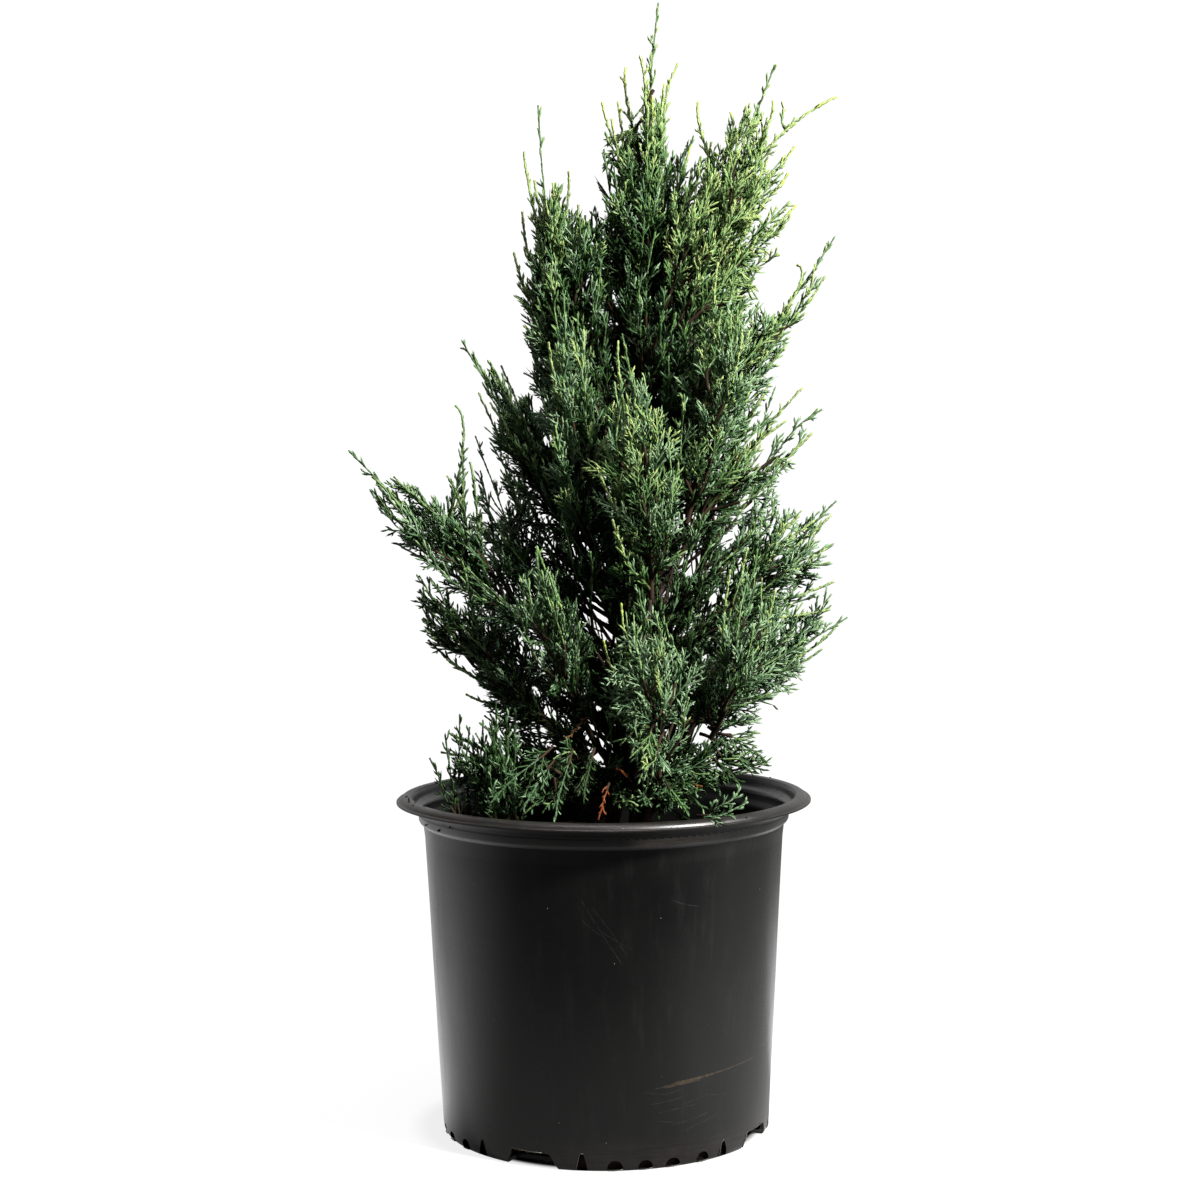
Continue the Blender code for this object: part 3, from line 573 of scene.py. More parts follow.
# ------------------------------------------------------------ growing mix
def make_soil():
    rings, steps = 46, 120
    top_r = wall_radius(SOIL_TOP) - POT_WALL - 0.0010
    verts, tris, rows = [], [], []
    for k in range(rings + 1):
        r = top_r * (k / rings)
        row = []
        for i in range(1 if k == 0 else steps):
            a = math.tau * i / steps
            x, y = r * math.cos(a), r * math.sin(a)
            lump = (noise.fractal(Vector((x * 55, y * 55, 3.0)), 0.9, 2.1, 5) * 0.0032
                    + noise.fractal(Vector((x * 210, y * 210, 9.0)), 0.8, 2.0, 4) * 0.0014)
            near = math.hypot(x - 0.0270, y)
            near2 = math.hypot(x - 0.0020, y - 0.010)
            heap = 0.0035 * math.exp(-(min(near, near2) / 0.028) ** 2)
            edge = -0.0018 * max(0.0, (r - 0.110) / 0.02)
            row.append(len(verts))
            verts.append((x, y, SOIL_TOP + lump + heap + edge))
        rows.append(row)
    low = []
    for z, r in ((0.018, wall_radius(0.018) - POT_WALL - 0.0012), (POT_FLOOR + 0.0008, 0.1015)):
        row = []
        for i in range(steps):
            a = math.tau * i / steps
            rr = r + 0.0012 * noise.noise(Vector((math.cos(a) * 9, math.sin(a) * 9, z * 40))) - 0.0012
            row.append(len(verts))
            verts.append((rr * math.cos(a), rr * math.sin(a), z))
        low.append(row)
    rows += low
    centre = len(verts)
    verts.append((0.0, 0.0, POT_FLOOR + 0.0008))
    rows.append([centre])
    for a, b in zip(rows, rows[1:]):
        for i in range(steps):
            j = (i + 1) % steps
            if len(a) == 1:
                tris.append((a[0], b[i], b[j]))
            elif len(b) == 1:
                tris.append((a[i], b[0], a[j]))
            else:
                tris += [(a[i], b[i], b[j]), (a[i], b[j], a[j])]
    obj = mesh_object("soil_surface", np.array(verts), np.array(tris), SOIL_MAT)
    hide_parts("growing_mix")
    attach(obj, "root")

    # loose bark chips, one joined piece
    count = 620
    chips_v, chips_t = [], []
    for c in range(count):
        r = 0.127 * math.sqrt(RNG.random())
        a = math.tau * RNG.random()
        x, y = r * math.cos(a), r * math.sin(a)
        if math.hypot(x - 0.027, y) < 0.015 or math.hypot(x - 0.002, y - 0.01) < 0.011:
            continue
        size = 0.0016 + 0.0042 * RNG.random() ** 2
        lx, ly, lz = size * (1.0 + RNG.random()), size * (0.5 + 0.4 * RNG.random()), size * 0.35
        turn = Matrix.Rotation(math.tau * RNG.random(), 3, "Z") @ Matrix.Rotation(0.5 * (RNG.random() - 0.5), 3, "X") \
            @ Matrix.Rotation(0.5 * (RNG.random() - 0.5), 3, "Y")
        z = SOIL_TOP + 0.0012 + noise.fractal(Vector((x * 55, y * 55, 3.0)), 0.9, 2.1, 5) * 0.0032
        start = len(chips_v)
        for sx in (-1, 1):
            for sy in (-1, 1):
                for sz in (-1, 1):
                    p = turn @ Vector((sx * lx * (0.7 + 0.3 * RNG.random()), sy * ly * (0.6 + 0.4 * RNG.random()),
                                       sz * lz * (0.6 + 0.4 * RNG.random())))
                    chips_v.append((x + p.x, y + p.y, z + p.z))
        for f in ((0, 1, 3), (0, 3, 2), (4, 6, 7), (4, 7, 5), (0, 4, 5), (0, 5, 1), (2, 3, 7), (2, 7, 6), (0, 2, 6), (0, 6, 4), (1, 5, 7), (1, 7, 3)):
            chips_t.append(tuple(start + q for q in f))
    chips = mesh_object("bark_chips", np.array(chips_v), np.array(chips_t), CHIP_MAT, smooth=False)
    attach(chips, "root")


def make_crumbs():
    """Crumbs of mix that stick to the lip and shoulder."""
    spots = [  # degrees from the front towards +X, radius, height, size
        (-76, 0.1490, 0.2541, 0.0010), (-73, 0.1502, 0.2538, 0.0008), (-70, 0.1478, 0.2543, 0.0007),
        (-67, 0.1515, 0.2533, 0.0007), (-79, 0.1478, 0.2543, 0.0006), (-83, 0.1490, 0.2541, 0.0007),
        (-62, 0.1480, 0.2542, 0.0005), (-69, 0.1404, 0.2375, 0.0008), (-59, 0.1404, 0.2368, 0.0011),
        (-52, 0.1404, 0.2412, 0.0009), (-51, 0.1404, 0.2409, 0.0007), (41, 0.1535, 0.2515, 0.0006),
        (118, 0.1490, 0.2541, 0.0008), (171, 0.1480, 0.2542, 0.0009), (205, 0.1500, 0.2538, 0.0007),
    ]
    verts, tris = [], []
    for k, (deg, r, z, size) in enumerate(spots):
        a = math.radians(deg - 90.0)
        c = Vector((r * math.cos(a), r * math.sin(a), z))
        start = len(verts)
        for p in ((1, 0, 0), (-1, 0, 0), (0, 1, 0), (0, -1, 0), (0, 0, 1), (0, 0, -1)):
            d = Vector(p) * size * (0.7 + 0.7 * RNG.random())
            d = Matrix.Rotation(k * 1.3, 3, "Z") @ d
            d.x *= 1.7 if k % 2 else 1.0
            verts.append(tuple(c + d))
        for f in ((0, 2, 4), (2, 1, 4), (1, 3, 4), (3, 0, 4), (2, 0, 5), (1, 2, 5), (3, 1, 5), (0, 3, 5)):
            tris.append(tuple(start + q for q in f))
    obj = mesh_object("lip_crumbs", np.array(verts), np.array(tris), CRUMB_MAT, smooth=False)
    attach(obj, "root")


# ------------------------------------------------------------------- limbs
TRUNK = [
    (0.0270, 0.000, SOIL_TOP + 0.0004, 0.0150), (0.0270, 0.000, SOIL_TOP + 0.0050, 0.0122),
    (0.0272, 0.000, SOIL_TOP + 0.0130, 0.0100), (0.0278, -0.001, 0.2500, 0.0086),
    (0.0275, -0.002, 0.3200, 0.0072), (0.0262, -0.001, 0.3900, 0.0062),
    (0.0285, 0.001, 0.4700, 0.0054), (0.0325, 0.002, 0.5600, 0.0045),
    (0.0350, 0.001, 0.6500, 0.0032), (0.0372, 0.000, 0.7150, 0.0016),
    (0.0395, 0.000, 0.7700, 0.0007),
]
SECOND_STEM = [
    (0.0020, 0.010, SOIL_TOP + 0.0004, 0.0102), (0.0020, 0.010, SOIL_TOP + 0.0050, 0.0086),
    (0.0045, 0.010, SOIL_TOP + 0.0150, 0.0070), (0.0130, 0.011, 0.2700, 0.0058),
    (0.0165, 0.012, 0.3300, 0.0050), (0.0135, 0.012, 0.3900, 0.0045), (0.0040, 0.010, 0.4500, 0.0041),
    (-0.0110, 0.006, 0.5200, 0.0036), (-0.0255, 0.002, 0.5950, 0.0027),
    (-0.0345, 0.000, 0.6700, 0.0015),
]
BOUGHS = {
    "bough_right_foot": ("trunk", 0.232, "foliage_right_foot", 0.0052),
    "bough_right_low": ("trunk", 0.300, "foliage_right_low", 0.0042),
    "bough_right_high": ("trunk", 0.385, "foliage_right_high", 0.0036),
    "bough_right_mid": ("trunk", 0.440, "foliage_right_mid", 0.0036),
    "bough_upper_right": ("trunk", 0.505, "foliage_upper_right", 0.0032),
    "bough_far_left": ("second_stem", 0.290, "foliage_far_left", 0.0042),
    "bough_left_low": ("second_stem", 0.246, "foliage_left_low", 0.0040),
    "bough_left_mid": ("second_stem", 0.385, "foliage_left_mid", 0.0034),
    "bough_front_high": ("trunk", 0.335, "foliage_front_high", 0.0036),
    "bough_front_low": ("trunk", 0.226, "foliage_front_low", 0.0036),
    "bough_front_left": ("second_stem", 0.268, "foliage_front_left", 0.0034),
    "bough_back_centre": ("trunk", 0.262, "foliage_back_centre", 0.0040),
    "bough_back_left": ("second_stem", 0.325, "foliage_back_left", 0.0036),
    "bough_back_right": ("trunk", 0.350, "foliage_back_right", 0.0036),
    "bough_back_low_left": ("second_stem", 0.236, "foliage_back_low_left", 0.0036),
    "bough_back_low_right": ("trunk", 0.244, "foliage_back_low_right", 0.0036),
}
# mass: foot, bend, tip, half width, half depth, fullest, lift (upswept 1 to
# spreading 0), tone (yellow 1 to blue 0), side shoots
MASSES = {
    "foliage_leader": ((0.036, 0.000, 0.560), (0.035, 0.000, 0.690), (0.0455, 0.000, 0.8440), 0.034, 0.037, 0.31, 1.0, 0.62, 11),
    "foliage_upper_right": ((0.058, -0.010, 0.565), (0.084, -0.020, 0.672), (0.1305, -0.018, 0.794), 0.032, 0.034, 0.42, 0.65, 0.72, 9),
    "foliage_upper_left": ((-0.012, 0.000, 0.515), (-0.037, 0.000, 0.615), (-0.0445, 0.000, 0.769), 0.026, 0.032, 0.32, 1.0, 0.45, 9),
    "foliage_right_mid": ((0.060, -0.018, 0.512), (0.108, -0.028, 0.566), (0.175, -0.020, 0.669), 0.023, 0.033, 0.38, 0.55, 0.42, 8),
    "foliage_right_high": ((0.060, -0.015, 0.448), (0.100, -0.022, 0.488), (0.165, -0.015, 0.541), 0.026, 0.035, 0.45, 0.6, 0.42, 7),
    "foliage_right_low": ((0.055, -0.020, 0.366), (0.108, -0.030, 0.410), (0.175, -0.020, 0.473), 0.034, 0.040, 0.46, 0.5, 0.40, 8),
    "foliage_right_foot": ((0.058, -0.022, 0.304), (0.106, -0.030, 0.338), (0.183, -0.020, 0.386), 0.027, 0.036, 0.45, 0.35, 0.35, 8),
    "foliage_left_mid": ((-0.015, 0.002, 0.440), (-0.053, -0.008, 0.498), (-0.104, 0.000, 0.596), 0.030, 0.037, 0.40, 0.7, 0.35, 8),
    "foliage_far_left": ((-0.036, -0.010, 0.372), (-0.094, -0.020, 0.409), (-0.188, -0.020, 0.514), 0.033, 0.038, 0.42, 0.5, 0.25, 9),
    "foliage_left_low": ((-0.034, -0.002, 0.304), (-0.090, -0.010, 0.344), (-0.137, -0.010, 0.409), 0.031, 0.038, 0.46, 0.35, 0.20, 8),
    "foliage_front_high": ((0.036, -0.050, 0.400), (0.036, -0.080, 0.485), (0.016, -0.070, 0.595), 0.034, 0.033, 0.42, 0.7, 0.50, 9),
    "foliage_front_low": ((0.040, -0.056, 0.262), (0.046, -0.092, 0.325), (0.024, -0.078, 0.415), 0.036, 0.036, 0.45, 0.45, 0.55, 9),
    "foliage_front_left": ((-0.014, -0.042, 0.318), (-0.044, -0.076, 0.370), (-0.047, -0.070, 0.443), 0.028, 0.033, 0.46, 0.7, 0.34, 8),
    "foliage_front_upper_right": ((0.062, -0.036, 0.455), (0.082, -0.064, 0.535), (0.098, -0.056, 0.640), 0.030, 0.031, 0.42, 0.6, 0.46, 8),
    "foliage_front_upper_left": ((-0.006, -0.032, 0.435), (-0.024, -0.058, 0.510), (-0.026, -0.050, 0.625), 0.030, 0.030, 0.42, 0.8, 0.40, 7),
    "foliage_front_right_low": ((0.078, -0.050, 0.298), (0.100, -0.082, 0.350), (0.112, -0.078, 0.440), 0.030, 0.032, 0.45, 0.5, 0.40, 7),
    "foliage_left_skirt": ((-0.045, -0.028, 0.258), (-0.084, -0.042, 0.258), (-0.114, -0.040, 0.305), 0.022, 0.028, 0.50, 1.2, -0.10, 6),
    "foliage_front_skirt": ((-0.004, -0.052, 0.292), (-0.032, -0.084, 0.283), (-0.060, -0.098, 0.254), 0.022, 0.024, 0.55, -0.6, -0.10, 4),
    "foliage_right_skirt": ((0.046, -0.022, 0.268), (0.083, -0.034, 0.284), (0.121, -0.034, 0.279), 0.018, 0.028, 0.50, -0.2, 0.30, 6),
    "foliage_back_leader": ((0.018, 0.040, 0.500), (0.020, 0.062, 0.610), (0.024, 0.045, 0.745), 0.035, 0.033, 0.40, 0.9, 0.50, 8),
    "foliage_back_right_high": ((0.060, 0.034, 0.500), (0.092, 0.058, 0.590), (0.100, 0.050, 0.715), 0.033, 0.034, 0.40, 0.8, 0.50, 8),
    "foliage_back_left_high": ((-0.018, 0.042, 0.450), (-0.040, 0.062, 0.530), (-0.048, 0.056, 0.650), 0.033, 0.034, 0.42, 0.8, 0.40, 7),
    "foliage_back_left": ((-0.030, 0.044, 0.372), (-0.070, 0.072, 0.425), (-0.098, 0.072, 0.525), 0.036, 0.040, 0.44, 0.6, 0.30, 7),
    "foliage_back_right": ((0.062, 0.040, 0.400), (0.104, 0.066, 0.450), (0.136, 0.068, 0.560), 0.036, 0.040, 0.44, 0.6, 0.40, 7),
    "foliage_back_centre": ((0.020, 0.052, 0.320), (0.018, 0.108, 0.385), (0.012, 0.118, 0.505), 0.038, 0.037, 0.44, 0.5, 0.35, 8),
    "foliage_back_high": ((0.026, 0.050, 0.430), (0.034, 0.092, 0.490), (0.034, 0.094, 0.615), 0.034, 0.032, 0.42, 0.7, 0.45, 7),
    "foliage_back_low_left": ((-0.026, 0.044, 0.285), (-0.074, 0.080, 0.320), (-0.112, 0.092, 0.420), 0.036, 0.040, 0.44, 0.4, 0.25, 7),
    "foliage_back_low_right": ((0.056, 0.046, 0.290), (0.098, 0.084, 0.330), (0.138, 0.092, 0.430), 0.036, 0.040, 0.44, 0.4, 0.30, 7),
    "foliage_back_skirt": ((0.020, 0.048, 0.262), (0.028, 0.085, 0.284), (0.036, 0.122, 0.276), 0.044, 0.018, 0.50, 0.0, 0.25, 7),
}
# tips of the slender growing shoots that stand out of each mass
WHIPS = {
    "foliage_leader": [(0.031, -0.010, 0.804, 0.0345, -0.008, 0.778), (0.021, 0.004, 0.797, 0.0228, 0.004, 0.768), (0.060, 0.006, 0.800, 0.052, 0.004, 0.772), (0.003, 0.004, 0.772), (0.010, -0.012, 0.757), (0.040, -0.020, 0.772), (0.0695, -0.010, 0.741), (0.015, 0.012, 0.774), (0.049, -0.012, 0.782)],
    "foliage_upper_right": [(0.1782, 0.000, 0.7735, 0.127, -0.004, 0.7355, 0.062, -0.014, 0.672), (0.1365, 0.000, 0.7710, 0.1392, 0.000, 0.758, 0.1412, 0.000, 0.748), (0.147, -0.004, 0.737), (0.098, -0.004, 0.762, 0.0985, -0.008, 0.735), (0.142, -0.006, 0.718), (0.148, -0.006, 0.694), (0.0755, 0.006, 0.773, 0.0775, 0.004, 0.748), (0.1185, -0.004, 0.763, 0.112, -0.008, 0.737), (0.1300, -0.004, 0.7705, 0.122, -0.006, 0.742), (0.084, -0.008, 0.740), (0.112, 0.004, 0.752)],
    "foliage_upper_left": [(-0.055, 0.000, 0.735, -0.0535, 0.000, 0.705), (-0.034, -0.012, 0.710), (-0.022, 0.004, 0.721), (-0.057, 0.004, 0.691), (-0.064, 0.000, 0.661), (-0.039, -0.020, 0.696), (-0.015, -0.010, 0.694), (-0.048, 0.010, 0.715), (-0.010, 0.005, 0.688)],
    "foliage_right_mid": [(0.1455, -0.026, 0.647, 0.1440, -0.026, 0.625), (0.158, -0.020, 0.640), (0.168, -0.014, 0.640)],
    "foliage_right_high": [(0.150, -0.020, 0.557), (0.137, -0.030, 0.533), (0.125, -0.030, 0.560), (0.158, -0.010, 0.524)],
    "foliage_right_low": [(0.173, -0.020, 0.413), (0.169, -0.030, 0.393), (0.158, -0.030, 0.459), (0.172, -0.010, 0.462), (0.166, -0.030, 0.438), (0.145, -0.050, 0.463)],
    "foliage_right_foot": [(0.164, -0.020, 0.363), (0.173, -0.030, 0.379)],
    "foliage_left_mid": [(-0.097, 0.000, 0.586), (-0.084, -0.015, 0.580), (-0.075, 0.010, 0.577), (-0.091, -0.010, 0.556), (-0.082, -0.020, 0.548)],
    "foliage_far_left": [(-0.1080, -0.020, 0.546, -0.0985, -0.020, 0.512), (-0.169, -0.030, 0.494), (-0.160, 0.000, 0.484), (-0.148, -0.030, 0.488), (-0.148, -0.030, 0.460), (-0.096, -0.040, 0.504), (-0.114, -0.030, 0.494), (-0.103, -0.015, 0.515), (-0.152, -0.010, 0.443)],
    "foliage_left_low": [(-0.132, -0.020, 0.409), (-0.126, -0.030, 0.393), (-0.131, -0.010, 0.371), (-0.116, -0.030, 0.358), (-0.102, -0.030, 0.332), (-0.102, -0.050, 0.432)],
    "foliage_front_high": [(0.013, -0.075, 0.590), (-0.003, -0.085, 0.499), (0.008, -0.100, 0.462)],
    "foliage_front_low": [(0.014, -0.080, 0.402), (0.001, -0.090, 0.376)],
    "foliage_front_left": [(-0.047, -0.070, 0.443), (-0.038, -0.090, 0.425), (-0.059, -0.080, 0.420)],
    "foliage_front_upper_right": [(0.086, -0.056, 0.647), (0.102, -0.070, 0.597)],
    "foliage_front_upper_left": [(-0.012, -0.050, 0.600), (-0.037, -0.060, 0.590)],
    "foliage_front_right_low": [(0.105, -0.080, 0.441), (0.091, -0.100, 0.426), (0.124, -0.090, 0.411)],
    "foliage_left_skirt": [(-0.114, -0.040, 0.304), (-0.106, -0.050, 0.302), (-0.098, -0.045, 0.297), (-0.092, -0.040, 0.312), (-0.121, -0.030, 0.289), (-0.078, -0.050, 0.318)],
}
# tips of broad sprays that fill out the edge of a mass, some with the place they
# start from
EDGES = {
    "foliage_upper_right": [(0.141, -0.020, 0.694, 0.084, -0.020, 0.642), (0.138, -0.026, 0.676, 0.080, -0.022, 0.628),
                            (0.132, -0.020, 0.656), (0.123, -0.026, 0.637), (0.117, -0.020, 0.622), (0.128, 0.006, 0.668),
                            (0.108, -0.040, 0.655, 0.060, -0.034, 0.600), (0.118, -0.014, 0.742, 0.056, -0.014, 0.652),
                            (0.131, -0.006, 0.738, 0.062, -0.016, 0.655), (0.137, -0.004, 0.728, 0.070, -0.012, 0.660), (0.120, -0.044, 0.706, 0.058, -0.032, 0.630),
                            (0.098, -0.020, 0.738, 0.050, -0.016, 0.665), (0.136, -0.024, 0.715, 0.072, -0.022, 0.650),
                            (0.078, -0.026, 0.722, 0.048, -0.022, 0.650), (0.066, -0.026, 0.704, 0.048, -0.020, 0.640),
                            (0.084, -0.040, 0.712, 0.050, -0.032, 0.630), (0.070, -0.040, 0.690, 0.048, -0.030, 0.615),
                            (0.094, -0.046, 0.678, 0.056, -0.038, 0.600)],
    "foliage_right_mid": [(0.136, -0.036, 0.588, 0.076, -0.040, 0.520), (0.128, -0.044, 0.606, 0.074, -0.046, 0.540),
                          (0.118, -0.050, 0.622, 0.070, -0.046, 0.556)],
    "foliage_right_high": [(0.112, -0.028, 0.556, 0.072, -0.030, 0.496), (0.120, -0.024, 0.550, 0.078, -0.028, 0.490),
                           (0.104, -0.036, 0.546, 0.070, -0.036, 0.484), (0.128, -0.022, 0.540, 0.082, -0.026, 0.480)],
    "foliage_front_low": [(0.014, -0.098, 0.318, 0.040, -0.086, 0.345), (0.018, -0.104, 0.292, 0.042, -0.088, 0.325),
                          (0.008, -0.094, 0.345, 0.038, -0.084, 0.362), (0.006, -0.090, 0.368, 0.034, -0.080, 0.378),
                          (0.026, -0.110, 0.278, 0.044, -0.088, 0.310), (0.012, -0.088, 0.300, 0.034, -0.080, 0.330)],
    "foliage_right_low": [(0.127, -0.030, 0.474), (0.140, -0.024, 0.468), (0.133, -0.030, 0.453), (0.118, -0.036, 0.462),
                          (0.171, -0.020, 0.441), (0.170, -0.026, 0.428), (0.161, -0.020, 0.419), (0.150, -0.020, 0.426),
                          (0.146, -0.020, 0.410, 0.104, -0.024, 0.376), (0.158, -0.016, 0.408, 0.110, -0.020, 0.372)],
    "foliage_right_foot": [(0.149, -0.025, 0.398), (0.163, -0.020, 0.396), (0.171, -0.024, 0.404), (0.145, -0.020, 0.380),
                           (0.134, -0.036, 0.388), (0.118, -0.026, 0.300, 0.078, -0.026, 0.306),
                           (0.108, -0.024, 0.296, 0.072, -0.020, 0.300), (0.112, -0.030, 0.310, 0.074, -0.028, 0.310)],
    "foliage_left_low": [(-0.136, -0.020, 0.420), (-0.136, -0.015, 0.408), (-0.134, -0.020, 0.388), (-0.131, -0.018, 0.376),
                         (-0.122, -0.030, 0.414)],
    "foliage_upper_left": [(-0.061, 0.000, 0.644), (-0.059, 0.004, 0.624), (-0.056, -0.010, 0.606)],
    "foliage_leader": [(0.006, -0.004, 0.744), (0.010, -0.006, 0.729), (0.003, 0.000, 0.722)],
}
# masses whose sprays are painted a little paler or darker than their place alone gives: painted light where above 0,
# painted shade where below
BRIGHTER = {
    "foliage_front_low": 0.14, "foliage_front_left": 0.05, "foliage_left_skirt": -0.12, "foliage_right_skirt": -0.08,
    "foliage_front_skirt": -0.10, "foliage_right_mid": -0.05, "foliage_far_left": -0.04,
}
# the crown's limits by height: left, right, front, back
CROWN = [
    (0.230, -0.085, 0.095, -0.080, 0.100), (0.290, -0.100, 0.098, -0.092, 0.110),
    (0.325, -0.092, 0.122, -0.098, 0.120), (0.380, -0.118, 0.145, -0.098, 0.122),
    (0.440, -0.132, 0.148, -0.092, 0.118), (0.500, -0.100, 0.136, -0.086, 0.108),
    (0.560, -0.074, 0.122, -0.072, 0.095), (0.620, -0.056, 0.136, -0.058, 0.080),
    (0.680, -0.050, 0.130, -0.044, 0.064), (0.720, -0.046, 0.128, -0.036, 0.050),
    (0.770, -0.010, 0.115, -0.024, 0.030), (0.844, 0.036, 0.056, -0.010, 0.010),
]
INFILL = 230     # shoots that fill the crown between the masses
# low shoots that spread over the mix and hang in the pot: tip, spray length, tone
APRON = [
    ((0.050, -0.106, 0.262), 0.024, 0.35), ((0.068, -0.096, 0.268), 0.026, 0.40),
    ((0.030, -0.108, 0.260), 0.022, 0.35), ((0.083, -0.070, 0.272), 0.024, 0.35),
    ((0.046, -0.086, 0.254), 0.024, 0.25), ((0.014, -0.098, 0.262), 0.020, 0.25),
    ((0.060, -0.114, 0.258), 0.018, 0.45), ((0.086, -0.046, 0.262), 0.022, 0.20),
    ((0.072, -0.060, 0.250), 0.024, 0.20), ((0.020, -0.076, 0.250), 0.022, 0.15),
    ((0.092, -0.012, 0.262), 0.022, 0.20), ((-0.050, -0.100, 0.260), 0.020, 0.20),
    ((-0.062, -0.084, 0.262), 0.022, 0.20), ((-0.086, -0.074, 0.262), 0.022, 0.20),
    ((-0.104, -0.040, 0.262), 0.022, 0.15), ((-0.098, 0.006, 0.268), 0.024, 0.20),
    ((-0.080, 0.052, 0.268), 0.026, 0.25), ((-0.040, 0.094, 0.268), 0.026, 0.25),
    ((0.078, 0.072, 0.268), 0.026, 0.25), ((0.058, -0.050, 0.290), 0.026, 0.30),
    ((-0.012, -0.060, 0.262), 0.022, 0.15), ((-0.036, -0.070, 0.258), 0.022, 0.15),
    ((-0.088, -0.030, 0.316), 0.020, -0.05), ((-0.074, -0.050, 0.300), 0.022, -0.05),
    ((-0.060, -0.030, 0.300), 0.022, -0.05), ((-0.096, -0.008, 0.332), 0.020, -0.05),
    ((-0.080, 0.022, 0.310), 0.022, 0.0), ((-0.050, -0.060, 0.292), 0.020, -0.05),
    ((-0.040, 0.000, 0.290), 0.024, -0.05), ((-0.066, 0.010, 0.290), 0.022, -0.05),
]
# upright shoots by the left rim: foot, tip, spray length, tone
RISING = [
    ((-0.070, -0.052, 0.232), (-0.070, -0.062, 0.322), 0.0200, 0.10),
    ((-0.076, -0.052, 0.232), (-0.081, -0.062, 0.316), 0.0200, 0.05),
    ((-0.074, -0.056, 0.232), (-0.075, -0.070, 0.304), 0.0200, 0.08),
    ((-0.080, -0.052, 0.232), (-0.087, -0.060, 0.301), 0.0200, 0.02),
    ((-0.082, -0.048, 0.232), (-0.092, -0.056, 0.288), 0.0200, -0.04),
    ((-0.066, -0.050, 0.236), (-0.064, -0.058, 0.306), 0.0150, 0.06),
    ((-0.074, -0.064, 0.234), (-0.083, -0.078, 0.284), 0.0150, 0.10),
    ((-0.062, -0.064, 0.234), (-0.066, -0.080, 0.280), 0.0150, 0.00),
    ((-0.102, -0.044, 0.236), (-0.116, -0.050, 0.306), 0.0130, -0.40),
    ((-0.100, -0.046, 0.240), (-0.098, -0.052, 0.310), 0.0130, -0.40),
    ((-0.086, -0.050, 0.236), (-0.078, -0.060, 0.330), 0.0180, -0.05),
    ((-0.076, -0.050, 0.236), (-0.064, -0.054, 0.322), 0.0170, -0.05),
    ((-0.084, -0.046, 0.236), (-0.088, -0.056, 0.316), 0.0170, 0.10),
    ((-0.088, -0.044, 0.236), (-0.095, -0.052, 0.302), 0.0150, 0.05),
]
# flat fans of branchlets that show one by one: foot, bend, tip, length of the
# side sprays, way the fan faces, shade
FANS = [
    ((-0.036, -0.092, 0.300), (-0.056, -0.114, 0.286), (-0.080, -0.127, 0.264), 0.0205, (0.1, -1.0, 0.15), BLUE),
    ((-0.034, -0.094, 0.292), (-0.046, -0.112, 0.280), (-0.057, -0.126, 0.258), 0.0150, (0.1, -1.0, 0.15), BLUE),
    ((-0.022, -0.092, 0.298), (-0.029, -0.108, 0.280), (-0.034, -0.127, 0.252), 0.0130, (0.0, -1.0, 0.10), BLUE),
    ((-0.006, -0.086, 0.298), (-0.012, -0.100, 0.286), (-0.014, -0.116, 0.262), 0.0100, (0.1, -1.0, 0.10), DEEP),
    ((0.066, -0.118, 0.2535), (0.082, -0.136, 0.2555), (0.1005, -0.1395, 0.2660), 0.0160, (0.1, -1.0, 0.55), GLAUCOUS),
    ((0.070, -0.120, 0.2535), (0.086, -0.134, 0.2600), (0.0960, -0.1330, 0.2760), 0.0090, (0.1, -1.0, 0.55), GLAUCOUS),
    ((0.004, -0.112, 0.276), (0.001, -0.120, 0.269), (-0.004, -0.126, 0.252), 0.0062, (0.2, -1.0, 0.20), DEAD),
    ((0.009, -0.076, 0.283), (0.013, -0.084, 0.281), (0.017, -0.088, 0.277), 0.0042, (0.0, -1.0, 0.30), DEAD),
    ((-0.010, -0.056, 0.318), (-0.018, -0.064, 0.310), (-0.030, -0.070, 0.299), 0.0040, (0.0, -1.0, 0.20), TAN),
    ((0.064, -0.088, 0.272), (0.066, -0.090, 0.270), (0.067, -0.091, 0.268), 0.0030, (0.0, -1.0, 0.20), DEAD),
    ((0.010, -0.110, 0.262), (0.016, -0.122, 0.264), (0.024, -0.128, 0.262), 0.0070, (0.0, -1.0, 0.30), FRESH),
    ((0.044, -0.104, 0.276), (0.052, -0.120, 0.268), (0.060, -0.132, 0.254), 0.0090, (0.0, -1.0, 0.20), MID),
    ((0.088, -0.040, 0.302), (0.104, -0.046, 0.300), (0.121, -0.050, 0.281), 0.0150, (0.1, -1.0, 0.20), MID),
    ((0.080, -0.070, 0.288), (0.088, -0.080, 0.282), (0.098, -0.090, 0.270), 0.0100, (0.1, -1.0, 0.20), DEEP),
    ((0.084, -0.044, 0.290), (0.088, -0.048, 0.284), (0.092, -0.052, 0.266), 0.0100, (0.1, -1.0, 0.20), DEEP),
    ((-0.104, -0.050, 0.236), (-0.110, -0.052, 0.268), (-0.105, -0.052, 0.320), 0.0175, (0.1, -1.0, 0.10), DEEP),
    ((-0.106, -0.050, 0.240), (-0.118, -0.054, 0.262), (-0.127, -0.056, 0.288), 0.0120, (0.1, -1.0, 0.10), DEEP),
]
